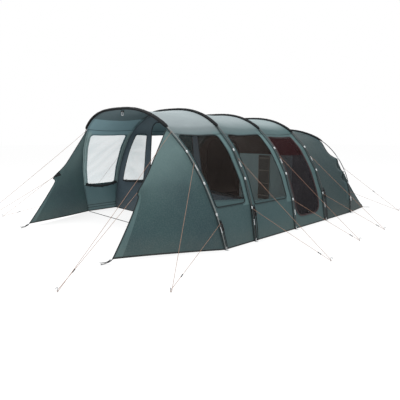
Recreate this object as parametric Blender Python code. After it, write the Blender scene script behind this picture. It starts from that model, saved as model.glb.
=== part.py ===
"""Family tunnel tent on five arched poles, with an open porch, guy lines and pegs.

Metres, +Z up, +Y towards the rear, +X towards the right-hand side seen from the front.
The origin is on the ground, at the middle of the tent without its guy lines.
"""

from collections import namedtuple
from math import copysign, cos, pi, radians, sin, tan

import bmesh
import bpy
from mathutils import Matrix, Vector

Arch = namedtuple("Arch", "name y height half_width lean inset shoulder rise")

# Arches, from the porch to the rear. A lean tips the arch forward about its feet. The inset
# is how far the fabric lies inside the pole, the shoulder is the height along the arch at
# which the sleeve ends, and a lower rise power makes the arch squarer.
ARCHES = (
    Arch("front", -1.635, 2.073, 2.00, 0.214, 0.030, 1.76, 1.212),
    Arch("second", -0.970, 2.057, 2.00, 0.0, 0.030, 1.75, 1.212),
    Arch("third", 0.149, 2.000, 2.00, 0.0, 0.030, 1.72, 1.212),
    Arch("fourth", 1.176, 1.955, 2.00, 0.0, 0.030, 1.66, 1.212),
    Arch("rear", 2.245, 1.730, 1.99, 0.0, 0.060, 1.48, 0.97),
)
WIDTH_POWER = 0.73
SEARCH_STEPS = 40
FINE_STEPS = 720
LEG_STEPS = 7
TOP_STEPS = 14

POLE_RADIUS = 0.008
POLE_LIFT = 0.006
SLEEVE_RADIUS = 0.026
SLEEVE_BORE = 0.0105
ROUND_SIDES = 8

FABRIC = 0.005
FILM = 0.003
SEAM_GAP = 0.004
CUT_GAP = 0.003
MERGE = 0.00005
LUMP_MERGE = 0.0002

# Cutters reach well past the walls: through a side wall along x, and through a wall along y.
SIDE_CUT = (0.6, 2.4)
WALL_CUT = 0.1

# A point inside the tent is at this height, to tell the inner side of the fabric.
INSIDE_HEIGHT = 0.6

# Between two arches the fabric sags inwards, fully so above the given height.
BAY_SAG = 0.035
SAG_FULL_HEIGHT = 0.50
BAY_STEPS = 4

# The rear wall comes down to a straight hem.
REAR_HEM_Y = 3.095
REAR_HEM_HALF_WIDTH = 1.88
REAR_SPREAD = 1.25

# Porch wings: a triangle of fabric from each leg of the front arch to a forward corner.
WING_CORNER = Vector((1.385, -3.095, 0.055))
WING_TAB_HEIGHT = 0.90
WING_TAB_REACH = 0.14
WING_BOW = 0.03
WING_HEIGHTS = (0.0, 0.2, 0.4, 0.6, 0.78, 0.90, 1.02, 1.2, 1.4, 1.58)
WING_COLUMNS = 5

# Windows and door in the side walls, as shares of their bay and heights above the ground.
EAVE = 1.640
PORCH_WINDOW = (0.10, 0.89, 0.61, EAVE)
LIVING_WINDOW = (0.11, 0.89, 0.56, EAVE)
SIDE_DOOR = (0.09, 0.86, 0.20, 1.60)
WINDOW_CORNER = 0.05
DOOR_CORNER = 0.22
DOOR_SWING_CLEARANCE = 0.006
HINGE_STEPS = 20

# The cross wall stands in the second arch, with a doorway and a window on each side of it.
CROSS_WALL_INSET = 0.045
DOORWAY_FOOT_HALF = 0.72
DOORWAY_TOP_HALF = 0.55
DOORWAY_SILL = 0.06
DOORWAY_TOP = 1.84
DOORWAY_CORNERS = (0.06, 0.20, 0.20, 0.06)
CROSS_WINDOW_MARGINS = {1: 0.12, -1: 0.26}
CROSS_WINDOW_BOTTOM = 0.645
CROSS_WINDOW_TOP = 1.62
CROSS_WINDOW_TOP_INNER = (0.72, 1.62)
CROSS_WINDOW_BOTTOM_INNER = (0.875, 0.71)

# Zip slider of the side door: its length, height and thickness.
SLIDER_SIZE = (0.040, 0.022, 0.007)
SLIDER_RISE = 0.030
SLIDER_GAP = 0.004
SLIDER_CORNER = 0.004

# Inner tent (bedroom), groundsheet and the strap across the porch. The inner tent's doorway
# is its left and right edge, its sill and its top.
SHEET = 0.004
SHEET_MARGIN = 0.020
SHEET_SIDE_MARGIN = 0.022
SHEET_CORNER = 0.03
STRAP_WIDTH = 0.025
STRAP_THICK = 0.003
STRAP_END = 0.075
BEDROOM_FRONT_Y = 1.09
BEDROOM_INSET = 0.15
BEDROOM_ARCH_GAP = 0.06
BEDROOM_REAR_Y = 2.93
BEDROOM_WALL = 0.006
BEDROOM_DOOR = (-1.12, -0.12, 0.09, 1.50)
BEDROOM_DOOR_CORNERS = (0.08, 0.30, 0.30, 0.08)

# Guy lines. Each runs from an upper point on the tent to its peg and back to a lower one.
# Pegs are x and y on the right-hand side; the left-hand side mirrors them.
GUY_RADIUS = 0.0025
GUY_SAG = 0.004
GUY_LEG_POINTS = 6
GUY_OFFSET = 0.003
GUY_FORWARD = 0.002
TAB_GAP = 0.008
WING_GUY_HEIGHT = 1.70
GUYS = {
    "wing": (0, (1.79, -3.990)),
    "front": (0, (2.61, -3.150)),
    "second": (1, (3.26, -1.020)),
    "third": (2, (3.09, 0.200)),
    "fourth": (3, (3.07, 1.205)),
    "rear": (4, (2.625, 3.147)),
}
GUY_HEIGHTS = {"front": (1.26, 0.40), "second": (1.25, 0.50), "third": (1.25, 0.50),
               "fourth": (1.20, 0.50), "rear": (0.92, 0.44)}
PEG_RADIUS = 0.004
PEG_HEIGHT = 0.045
PEG_HOOK = 0.011
EYE_RADIUS = 0.009
EYE_HEIGHT = 0.016

# Runners: the guy line, its side, the part of the line, and the distance from the peg.
RUNNERS = (("wing", 1, "lower", 0.28), ("front", 1, "lower", 0.30), ("second", 1, "lower", 0.17),
           ("third", 1, "lower", 0.14), ("fourth", 1, "lower", 0.12), ("rear", 1, "upper", 0.70),
           ("wing", -1, "lower", 0.28), ("front", -1, "lower", 0.30))
RUNNER_LENGTH = 0.045
RUNNER_RADIUS = 0.009
RUNNER_BORE = 0.0042

GREEN = (0.052, 0.088, 0.092)
BLACK = (0.012, 0.012, 0.013)
POLE_GREY = (0.30, 0.31, 0.32)
CLEAR = (0.62, 0.68, 0.70)
MESH_BLACK = (0.020, 0.017, 0.018)
RED_GREY = (0.060, 0.022, 0.024)
SHEET_GREY = (0.07, 0.075, 0.08)
GUY_ORANGE = (0.45, 0.17, 0.06)
STEEL = (0.42, 0.43, 0.44)


def side_name(side):
    return "right" if side > 0 else "left"


def clear_scene():
    for thing in list(bpy.data.objects):
        bpy.data.objects.remove(thing, do_unlink=True)


def paint(thing, colour, roughness=0.7, metallic=0.0, alpha=1.0):
    material = bpy.data.materials.new(thing.name)
    material.use_nodes = True
    shader = material.node_tree.nodes["Principled BSDF"]
    shader.inputs["Base Color"].default_value = (*colour, 1.0)
    shader.inputs["Roughness"].default_value = roughness
    shader.inputs["Metallic"].default_value = metallic
    shader.inputs["Alpha"].default_value = alpha
    thing.data.materials.clear()
    thing.data.materials.append(material)
    return thing


def make(name, points, faces, location=(0.0, 0.0, 0.0)):
    """A mesh object whose origin is at the given place; the points are in the tent's frame."""
    place = Vector(location)
    mesh = bpy.data.meshes.new(name)
    mesh.from_pydata([Vector(p) - place for p in points], [], faces)
    work = bmesh.new()
    work.from_mesh(mesh)
    bmesh.ops.recalc_face_normals(work, faces=work.faces)
    work.to_mesh(mesh)
    work.free()
    mesh.update()
    thing = bpy.data.objects.new(name, mesh)
    thing.location = place
    bpy.context.collection.objects.link(thing)
    return thing


def resampled(points, steps):
    """The same line with evenly spaced points."""
    along = [0.0]
    for a, b in zip(points, points[1:]):
        along.append(along[-1] + (b - a).length)
    spaced = []
    k = 0
    for i in range(steps + 1):
        want = along[-1] * i / steps
        while k < len(points) - 2 and along[k + 1] < want:
            k += 1
        share = (want - along[k]) / (along[k + 1] - along[k])
        spaced.append(points[k].lerp(points[k + 1], min(1.0, share)))
    return spaced


def arch_point(arch, turn, inset=0.0):
    """A point on the arch: turn 0 is its right foot, pi / 2 its top and pi its left foot."""
    across = copysign(abs(cos(turn)) ** WIDTH_POWER, cos(turn)) * (arch.half_width - inset)
    rise = max(0.0, sin(turn)) ** arch.rise * (arch.height - inset)
    return Vector((across, arch.y - rise * sin(arch.lean), rise * cos(arch.lean)))


def arch_line(arch, inset=0.0, lowest=0.0):
    """The arch from its right foot to its left foot, above the lowest height."""
    fine = [arch_point(arch, pi * i / FINE_STEPS, inset) for i in range(FINE_STEPS // 2 + 1)]
    shoulder = arch.shoulder * cos(arch.lean)
    leg = resampled([p for p in fine if lowest <= p.z <= shoulder], LEG_STEPS)
    top = resampled([leg[-1]] + [p for p in fine if p.z > shoulder], TOP_STEPS // 2)
    half = leg + top[1:]
    return half + [Vector((-p.x, p.y, p.z)) for p in half[-2::-1]]


def leg_point(arch, height, side=1, inset=0.0):
    """Where the arch's leg is at a height along the arch; side is 1 for right, -1 for left."""
    low, high = 0.0, pi / 2
    for _ in range(SEARCH_STEPS):
        middle = (low + high) / 2
        if arch_point(arch, middle, inset).z < height * cos(arch.lean):
            low = middle
        else:
            high = middle
    point = arch_point(arch, low, inset)
    return Vector((side * point.x, point.y, point.z))


def front_of(arch, height):
    return arch.y - height * tan(arch.lean)


def tube(name, points, radius, bore=0.0, sides=ROUND_SIDES, across=Vector((0, 1, 0))):
    """A round rod, or a pipe where it has a bore, along points that lie in one plane."""
    rings = []
    for size in [radius, bore] if bore else [radius]:
        for i, point in enumerate(points):
            before, after = points[max(0, i - 1)], points[min(len(points) - 1, i + 1)]
            forward = (after - before).normalized()
            up = forward.cross(across).normalized()
            over = up.cross(forward).normalized()
            rings.append([point + size * (cos(a) * up + sin(a) * over)
                          for a in (2 * pi * k / sides for k in range(sides))])
    count = len(points)
    faces = []
    for wall in range(len(rings) // count):
        for i in range(count - 1):
            for k in range(sides):
                a = (wall * count + i) * sides
                b = a + sides
                n = (k + 1) % sides
                faces.append((a + k, a + n, b + n, b + k))
    ends = (0, (count - 1) * sides)
    for end in ends:
        if bore:
            inner = end + count * sides
            for k in range(sides):
                n = (k + 1) % sides
                faces.append((end + k, end + n, inner + n, inner + k))
        else:
            faces.append(tuple(end + k for k in range(sides)))
    thing = make(name, [p for ring in rings for p in ring], faces)
    thing.data.shade_smooth()
    thing.data.set_sharp_from_angle(angle=radians(50))
    return thing


def sheet_of(name, rows, thickness, inward):
    """A thin solid from rows of points; inward is a point on its inner side."""
    wide = len(rows[0])
    faces = []
    for i in range(len(rows) - 1):
        for k in range(wide - 1):
            a = i * wide + k
            faces.append((a, a + 1, a + wide + 1, a + wide))
    mesh = bpy.data.meshes.new(name)
    mesh.from_pydata([p for row in rows for p in row], [], faces)
    work = bmesh.new()
    work.from_mesh(mesh)
    bmesh.ops.remove_doubles(work, verts=work.verts, dist=MERGE)
    bmesh.ops.dissolve_degenerate(work, edges=work.edges, dist=MERGE)
    bmesh.ops.recalc_face_normals(work, faces=work.faces)
    work.faces.ensure_lookup_table()
    facing = sum((f.calc_center_median() - inward).dot(f.normal) * f.calc_area() for f in work.faces)
    if facing < 0:
        bmesh.ops.reverse_faces(work, faces=work.faces)
    work.to_mesh(mesh)
    work.free()
    thing = bpy.data.objects.new(name, mesh)
    bpy.context.collection.objects.link(thing)
    shell = thing.modifiers.new("thickness", "SOLIDIFY")
    shell.thickness = thickness
    shell.offset = -1.0
    shell.use_even_offset = True
    return thing


def rounded(corners, radii, steps=5):
    """A polygon with its corners rounded; a radius of zero leaves a corner sharp."""
    outline = []
    for i, corner in enumerate(corners):
        if radii[i] == 0:
            outline.append(Vector(corner))
            continue
        here = Vector(corner)
        before = (Vector(corners[i - 1]) - here).normalized()
        after = (Vector(corners[(i + 1) % len(corners)]) - here).normalized()
        start, end = here + radii[i] * before, here + radii[i] * after
        for k in range(steps + 1):
            share = k / steps
            outline.append(start.lerp(here, share).lerp(here.lerp(end, share), share))
    return outline


def grown(outline, by):
    """The outline moved out by a distance, or in where it is negative."""
    count = len(outline)
    area = sum(outline[i].cross(outline[(i + 1) % count]) for i in range(count))
    moved = []
    for i, point in enumerate(outline):
        along = (outline[(i + 1) % count] - outline[i - 1]).normalized()
        moved.append(point + by * copysign(1.0, area) * Vector((along.y, -along.x)))
    return moved


def prism(name, outline, low, high, axis):
    """The outline pushed from low to high along x (outline in y, z) or y (outline in x, z)."""
    def at(point, depth):
        return (depth, point.x, point.y) if axis == "x" else (point.x, depth, point.y)

    count = len(outline)
    points = [at(p, low) for p in outline] + [at(p, high) for p in outline]
    faces = [tuple(range(count)), tuple(range(count, 2 * count))]
    for k in range(count):
        n = (k + 1) % count
        faces.append((k, n, count + n, count + k))
    return make(name, points, faces)


def cutter(name, outline, low, high, axis):
    guide = prism(name, outline, low, high, axis)
    guide.hide_render = True
    guide.display_type = "WIRE"
    return guide


def combine(thing, other, operation):
    step = thing.modifiers.new(operation.lower(), "BOOLEAN")
    step.operation = operation
    step.solver = "EXACT"
    step.object = other


# Frame: poles and sleeves


def pole(arch):
    line = arch_line(arch, lowest=POLE_LIFT)
    across = Vector((0, cos(arch.lean), sin(arch.lean)))
    return paint(tube(f"pole_{arch.name}", line, POLE_RADIUS, across=across), POLE_GREY, 0.35)


def sleeve(arch):
    line = arch_line(arch, lowest=POLE_LIFT)[LEG_STEPS:-LEG_STEPS]
    across = Vector((0, cos(arch.lean), sin(arch.lean)))
    thing = tube(f"sleeve_{arch.name}", line, SLEEVE_RADIUS, SLEEVE_BORE, across=across)
    return paint(thing, BLACK, 0.85)


# Flysheet


def bay_rows(front, back, deeper=0.0):
    """Rows of points of the roof and walls between two arches, sagging in between them."""
    first, last = (arch_line(arch, arch.inset + deeper) for arch in (front, back))
    low_first, low_last = (arch_line(arch, arch.inset + deeper + BAY_SAG) for arch in (front, back))
    gap = Vector((0, SEAM_GAP, 0))
    rows = []
    for k in range(BAY_STEPS + 1):
        share = k / BAY_STEPS
        slack = 4 * share * (1 - share)
        row = []
        for a, b, c, d in zip(first, last, low_first, low_last):
            taut = (a + gap).lerp(b - gap, share)
            loose = (c + gap).lerp(d - gap, share)
            row.append(taut.lerp(loose, slack * min(1.0, taut.z / SAG_FULL_HEIGHT)))
        rows.append(row)
    return rows


def bay_outline(front, back, window):
    """A window of a side wall in y and z, its sides following the arches beside it."""
    left, right, bottom, top = window
    corners = []
    for share, height in ((left, bottom), (right, bottom), (right, top), (left, top)):
        start, end = front_of(front, height), front_of(back, height)
        corners.append((start + (end - start) * share, height))
    low = DOOR_CORNER if window is SIDE_DOOR else WINDOW_CORNER
    return rounded(corners, (low, low, WINDOW_CORNER, WINDOW_CORNER))


def side_cutter(name, outline, side):
    near, far = SIDE_CUT
    return cutter(name, outline, near * side, far * side, "x")


def fly_bay(name, front, back, holes):
    """One bay of the flysheet, with a hole on each side that holes names."""
    inside = Vector((0, (front.y + back.y) / 2, INSIDE_HEIGHT))
    thing = sheet_of(name, bay_rows(front, back), FABRIC, inside)
    for side, window in holes:
        outline = bay_outline(front, back, window)
        combine(thing, side_cutter(f"{name}_hole_{side}", outline, side), "DIFFERENCE")
    return paint(thing, GREEN, 0.75)


def panel_in(name, front, back, window, side):
    """A panel that fills a hole in a bay, with a small gap all round."""
    rows = bay_rows(front, back, deeper=(FABRIC - FILM) / 2)
    half = len(rows[0]) // 2
    rows = [row[:half] if side > 0 else row[half + 1:] for row in rows]
    inside = Vector((0, (front.y + back.y) / 2, INSIDE_HEIGHT))
    thing = sheet_of(name, rows, FILM, inside)
    outline = grown(bay_outline(front, back, window), -CUT_GAP)
    combine(thing, side_cutter(f"{name}_outline", outline, side), "INTERSECT")
    return thing


def spread_hem(line, reach, y):
    """A straight hem on the ground under an arch line, spread sideways up to its reach."""
    return [Vector((max(-reach, min(reach, p.x * REAR_SPREAD)), y, 0.0)) for p in line]


def rear_wall(arch):
    """The slope from the rear arch to the straight rear hem, with a gusset at each side."""
    gap = Vector((0, SEAM_GAP * 2, 0))
    top = [p + gap for p in arch_line(arch, arch.inset)]
    bottom = spread_hem(top, REAR_HEM_HALF_WIDTH, REAR_HEM_Y)
    rows = [top] + [[a.lerp(b, share) for a, b in zip(top, bottom)] for share in (0.5, 1.0)]
    inside = Vector((0, arch.y - INSIDE_HEIGHT, INSIDE_HEIGHT / 2))
    return paint(sheet_of("fly_rear_wall", rows, FABRIC, inside), GREEN, 0.75)


def wing_edge(side):
    """The shoulder and the forward corner that a wing's front edge joins."""
    arch = ARCHES[0]
    shoulder = leg_point(arch, arch.shoulder, side, arch.inset) - Vector((0, SEAM_GAP, 0))
    return shoulder, Vector((side * WING_CORNER.x, WING_CORNER.y, WING_CORNER.z))


def wing_tab_tip(side):
    """The point of the tab, pulled from the middle of the front edge towards its peg."""
    shoulder, corner = wing_edge(side)
    middle = shoulder.lerp(corner, 1 - WING_TAB_HEIGHT / shoulder.z)
    x, y = GUYS["wing"][1]
    return middle + (Vector((side * x, y, 0.0)) - middle).normalized() * WING_TAB_REACH


def wing(side):
    """A porch wing from the front arch's leg to its forward corner, with a guy tab."""
    arch = ARCHES[0]
    shoulder, corner = wing_edge(side)
    rows = []
    for height in WING_HEIGHTS + (shoulder.z,):
        back = leg_point(arch, height / cos(arch.lean), side, arch.inset) - Vector((0, SEAM_GAP, 0))
        share = 1 - height / shoulder.z
        front = shoulder.lerp(corner, share)
        if height == WING_TAB_HEIGHT:
            front = wing_tab_tip(side)
        row = []
        for k in range(WING_COLUMNS + 1):
            part = k / WING_COLUMNS
            bow = side * WING_BOW * 4 * part * (1 - part) * share
            row.append(back.lerp(front, part) - Vector((bow, 0, 0)))
        rows.append(row)
    inside = Vector((0, arch.y, INSIDE_HEIGHT))
    return paint(sheet_of(f"wing_{side_name(side)}", rows, FABRIC, inside), GREEN, 0.75)


# Cross wall, windows and door


def cross_window_outline(side):
    """A cross wall's window in x and z; its outer side keeps a level margin to the arch."""
    corners = []
    for k in range(5):
        height = CROSS_WINDOW_BOTTOM + (CROSS_WINDOW_TOP - CROSS_WINDOW_BOTTOM) * k / 4
        corners.append((leg_point(ARCHES[1], height).x - CROSS_WINDOW_MARGINS[side], height))
    corners += [CROSS_WINDOW_TOP_INNER, CROSS_WINDOW_BOTTOM_INNER]
    radii = [WINDOW_CORNER] + [0, 0, 0] + [WINDOW_CORNER] * 3
    return [Vector((side * p.x, p.y)) for p in rounded(corners, radii)]


def doorway_outline():
    corners = [(DOORWAY_FOOT_HALF, DOORWAY_SILL), (DOORWAY_TOP_HALF, DOORWAY_TOP),
               (-DOORWAY_TOP_HALF, DOORWAY_TOP), (-DOORWAY_FOOT_HALF, DOORWAY_SILL)]
    return rounded(corners, DOORWAY_CORNERS)


def cross_wall():
    arch = ARCHES[1]
    outline = [Vector((p.x, p.z)) for p in arch_line(arch, CROSS_WALL_INSET)]
    thing = prism("cross_wall", outline, arch.y - FABRIC / 2, arch.y + FABRIC / 2, "y")
    cuts = (("cross_doorway", doorway_outline()),
            ("cross_window_hole_right", cross_window_outline(1)),
            ("cross_window_hole_left", cross_window_outline(-1)))
    for name, hole in cuts:
        guide = cutter(name, hole, arch.y - WALL_CUT, arch.y + WALL_CUT, "y")
        combine(thing, guide, "DIFFERENCE")
    return paint(thing, GREEN, 0.75)


def cross_window(side):
    arch = ARCHES[1]
    name = f"window_cross_{side_name(side)}"
    outline = grown(cross_window_outline(side), -CUT_GAP)
    thing = prism(name, outline, arch.y - FILM / 2, arch.y + FILM / 2, "y")
    return paint(thing, CLEAR, 0.1, alpha=0.35)


def door_axis():
    """The bottom and top of the side door's hinge line, just outside the bulge of its seam."""
    front, back = ARCHES[2], ARCHES[3]
    share, _, bottom, top = SIDE_DOOR
    y = front.y + (back.y - front.y) * share
    low, high = (leg_point(front, z, 1, front.inset) for z in (bottom, top))
    bulge = 0.0
    for k in range(HINGE_STEPS + 1):
        seam = leg_point(front, bottom + (top - bottom) * k / HINGE_STEPS, 1, front.inset)
        bulge = max(bulge, seam.x - low.lerp(high, k / HINGE_STEPS).x)
    out = bulge + DOOR_SWING_CLEARANCE
    return Vector((low.x + out, y, bottom)), Vector((high.x + out, y, top))


def side_door():
    """The mesh door of the right-hand side wall; its origin is the foot of its hinge line."""
    thing = panel_in("side_door", ARCHES[2], ARCHES[3], SIDE_DOOR, 1)
    place = door_axis()[0]
    thing.data.transform(Matrix.Translation(-place))
    thing.location = place
    return paint(thing, MESH_BLACK, 0.9)


def side_door_slider():
    """The zip slider of the side door, outside the middle of its lower edge."""
    front, back = ARCHES[2], ARCHES[3]
    left, right, bottom, _ = SIDE_DOOR
    height = bottom + SLIDER_RISE
    share = (left + right) / 2
    y = front.y + (back.y - front.y) * share
    sag = 4 * share * (1 - share) * BAY_SAG * height / SAG_FULL_HEIGHT
    low = leg_point(front, height, 1, front.inset).x - sag + SLIDER_GAP
    length, tall, thick = SLIDER_SIZE
    corners = [(y - length / 2, height), (y + length / 2, height),
               (y + length / 2, height + tall), (y - length / 2, height + tall)]
    outline = rounded(corners, (SLIDER_CORNER,) * 4, steps=3)
    thing = prism("side_door_slider", outline, low, low + thick, "x")
    place = Vector((low, y, height))
    thing.data.transform(Matrix.Translation(-place))
    thing.location = place
    return paint(thing, BLACK, 0.4)


# Floor and inner tent


def groundsheet():
    """The living area's floor, from the cross wall to the inner tent."""
    front, back = ARCHES[1].y + SHEET_MARGIN, BEDROOM_FRONT_Y - SHEET_MARGIN
    half = ARCHES[1].half_width - ARCHES[1].inset - SHEET_SIDE_MARGIN
    corners = [(-half, front), (half, front), (half, back), (-half, back)]
    outline = rounded(corners, (SHEET_CORNER,) * 4)
    points = [(p.x, p.y, z) for z in (0.0, SHEET) for p in outline]
    count = len(outline)
    faces = [tuple(range(count)), tuple(range(count, 2 * count))]
    faces += [(k, (k + 1) % count, count + (k + 1) % count, count + k) for k in range(count)]
    return paint(make("groundsheet", points, faces), SHEET_GREY, 0.8)


def inner_lump(name, shrink):
    """The inner tent's space, less a distance on every side but its floor's underside."""
    first = BEDROOM_FRONT_Y + shrink
    fourth, rear = ARCHES[3], ARCHES[4]
    floor = Vector((0, 0, shrink))
    rows = []
    for arch, y in ((fourth, first), (fourth, fourth.y), (rear, rear.y - BEDROOM_ARCH_GAP)):
        line = arch_line(arch, BEDROOM_INSET + shrink)
        rows.append([Vector((p.x, y, p.z * (1 - shrink / arch.height))) + floor for p in line])
    reach = REAR_HEM_HALF_WIDTH - BEDROOM_INSET - shrink
    hem = spread_hem(rows[-1], reach, BEDROOM_REAR_Y - 3 * shrink)
    rows.append([p + floor for p in hem])
    wide = len(rows[0])
    points = [p for row in rows for p in row]
    faces = []
    for i in range(len(rows) - 1):
        for k in range(wide - 1):
            a = i * wide + k
            faces.append((a, a + 1, a + wide + 1, a + wide))
    faces.append(tuple(range(wide)))
    right = [i * wide for i in range(len(rows))]
    back = [right[-1] + k for k in range(1, wide - 1)]
    left = [i * wide + wide - 1 for i in range(len(rows))]
    faces.append(tuple(right + back + left[::-1]))
    thing = make(name, points, faces)
    work = bmesh.new()
    work.from_mesh(thing.data)
    bmesh.ops.remove_doubles(work, verts=work.verts, dist=LUMP_MERGE)
    bmesh.ops.triangulate(work, faces=work.faces)
    bmesh.ops.dissolve_degenerate(work, edges=work.edges, dist=LUMP_MERGE)
    bmesh.ops.recalc_face_normals(work, faces=work.faces)
    work.to_mesh(thing.data)
    work.free()
    return thing


def bedroom():
    """The inner tent: a hung fabric room with its own floor and an open doorway."""
    thing = inner_lump("bedroom", 0.0)
    hollow = inner_lump("bedroom_hollow", BEDROOM_WALL)
    left, right, low, high = BEDROOM_DOOR
    corners = [(right, low), (right, high), (left, high), (left, low)]
    door = rounded(corners, BEDROOM_DOOR_CORNERS)
    near, far = BEDROOM_FRONT_Y - WALL_CUT, BEDROOM_FRONT_Y + WALL_CUT
    mouth = cutter("bedroom_mouth", door, near, far, "y")
    hollow.hide_render = True
    hollow.display_type = "WIRE"
    combine(thing, hollow, "DIFFERENCE")
    combine(thing, mouth, "DIFFERENCE")
    return paint(thing, RED_GREY, 0.85)


def porch_strap():
    """The webbing on the ground that ties the front arch's feet to each other."""
    reach = ARCHES[0].half_width - STRAP_END
    near, far = ARCHES[0].y - STRAP_WIDTH / 2, ARCHES[0].y + STRAP_WIDTH / 2
    outline = [Vector((near, 0.0)), Vector((far, 0.0)),
               Vector((far, STRAP_THICK)), Vector((near, STRAP_THICK))]
    return paint(prism("porch_strap", outline, -reach, reach, "x"), BLACK, 0.85)


# Guy lines, pegs and runners


def guy_ends(name, side):
    """The guy line's upper point, its lower point and the middle of its loop on the peg."""
    number, (x, y) = GUYS[name]
    arch = ARCHES[number]
    beside = Vector((side * (POLE_RADIUS + GUY_RADIUS + GUY_OFFSET), -GUY_FORWARD, 0.0))
    if name == "wing":
        upper = leg_point(arch, WING_GUY_HEIGHT, side) + beside
        tip = wing_tab_tip(side)
        lower = tip + (Vector((side * x, y, 0.0)) - tip).normalized() * TAB_GAP
    else:
        high, low = GUY_HEIGHTS[name]
        upper, lower = (leg_point(arch, height, side) + beside for height in (high, low))
    return upper, lower, Vector((side * x, y, EYE_HEIGHT))


def guy_leg(start, end):
    """A slack-free line that sags a little in its middle; its last point is left out."""
    points = []
    for k in range(GUY_LEG_POINTS):
        share = k / GUY_LEG_POINTS
        drop = 4 * share * (1 - share) * GUY_SAG * (end - start).length
        points.append(start.lerp(end, share) - Vector((0, 0, drop)))
    return points


def guy_route(name, side):
    """From the upper point, round the peg, to the lower point."""
    upper, lower, eye = guy_ends(name, side)
    middle = ((upper - eye).normalized() + (lower - eye).normalized()).normalized()
    across = middle.cross(Vector((0, 0, 1))).normalized() * EYE_RADIUS
    turn = [eye + cos(a) * across - sin(a) * EYE_RADIUS * middle
            for a in (pi * k / 4 for k in range(5))]
    return guy_leg(upper, turn[0]) + turn + guy_leg(lower, turn[-1])[::-1]


def guy(name, side):
    curve = bpy.data.curves.new(f"guy_{name}_{side_name(side)}", "CURVE")
    curve.dimensions = "3D"
    curve.fill_mode = "FULL"
    curve.bevel_depth = GUY_RADIUS
    curve.bevel_resolution = 2
    curve.use_fill_caps = True
    route = guy_route(name, side)
    spline = curve.splines.new("POLY")
    spline.points.add(len(route) - 1)
    for knot, point in zip(spline.points, route):
        knot.co = (*point, 1.0)
    thing = bpy.data.objects.new(curve.name, curve)
    bpy.context.collection.objects.link(thing)
    return paint(thing, GUY_ORANGE, 0.7)


def peg(name, side):
    """The part of a wire peg above the ground, its hook turned away from the tent."""
    x, y = GUYS[name][1]
    foot = Vector((side * x, y, 0.0))
    upper, lower, _ = guy_ends(name, side)
    away = foot - (upper + lower) / 2
    away = Vector((away.x, away.y, 0.0)).normalized()
    line = [foot, foot + Vector((0, 0, PEG_HEIGHT / 2))]
    top = foot + Vector((0, 0, PEG_HEIGHT)) + PEG_HOOK * away
    for k in range(7):
        a = pi * k / 6
        line.append(top - cos(a) * PEG_HOOK * away + Vector((0, 0, sin(a) * PEG_HOOK)))
    across = away.cross(Vector((0, 0, 1)))
    thing = tube(f"peg_{name}_{side_name(side)}", line, PEG_RADIUS, across=across)
    return paint(thing, STEEL, 0.35, metallic=1.0)


def runner_place(name, side, part, distance):
    """A runner's middle and the direction of its line, from the peg towards the tent."""
    route = guy_route(name, side)
    if part == "upper":
        line = route[:GUY_LEG_POINTS + 1][::-1]
    else:
        line = route[GUY_LEG_POINTS + 4:]
    fine = resampled(line, FINE_STEPS)
    step = sum((b - a).length for a, b in zip(fine, fine[1:])) / FINE_STEPS
    k = round(distance / step)
    return fine[k], (fine[k + 8] - fine[k - 8]).normalized()


def runner(name, side, part, distance):
    """A runner that tensions a guy line: a short pipe on it, its origin at its middle."""
    place, along = runner_place(name, side, part, distance)
    ends = [place - along * RUNNER_LENGTH / 2, place, place + along * RUNNER_LENGTH / 2]
    across = along.cross(Vector((0, 0, 1))).normalized()
    thing = tube(f"runner_{name}_{side_name(side)}", ends, RUNNER_RADIUS, RUNNER_BORE, across=across)
    thing.data.transform(Matrix.Translation(-place))
    thing.location = place
    return paint(thing, BLACK, 0.4)


def main():
    clear_scene()
    front, second, third, fourth, rear = ARCHES
    for arch in ARCHES:
        pole(arch)
        sleeve(arch)
    fly_bay("fly_porch", front, second, ((1, PORCH_WINDOW), (-1, PORCH_WINDOW)))
    fly_bay("fly_living_front", second, third, ((1, LIVING_WINDOW), (-1, LIVING_WINDOW)))
    fly_bay("fly_living_rear", third, fourth, ((1, SIDE_DOOR),))
    fly_bay("fly_bedroom", fourth, rear, ())
    rear_wall(rear)
    paint(panel_in("window_porch_right", front, second, PORCH_WINDOW, 1), CLEAR, 0.1, alpha=0.35)
    paint(panel_in("window_porch_left", front, second, PORCH_WINDOW, -1), CLEAR, 0.1, alpha=0.35)
    paint(panel_in("window_living_right", second, third, LIVING_WINDOW, 1), CLEAR, 0.1, alpha=0.35)
    cross_wall()
    for side in (1, -1):
        wing(side)
        cross_window(side)
    side_door()
    side_door_slider()
    groundsheet()
    bedroom()
    porch_strap()
    for name in GUYS:
        for side in (1, -1):
            guy(name, side)
            peg(name, side)
    for name, side, part, distance in RUNNERS:
        runner(name, side, part, distance)


main()
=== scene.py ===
"""Visual model of the tunnel tent, built over its CAD frame. Metres; +Y is the rear, +X the right."""

import math
from collections import namedtuple

import bpy
import numpy as np
from mathutils import Matrix, Vector, kdtree, noise
from mathutils.geometry import delaunay_2d_cdt


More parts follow.
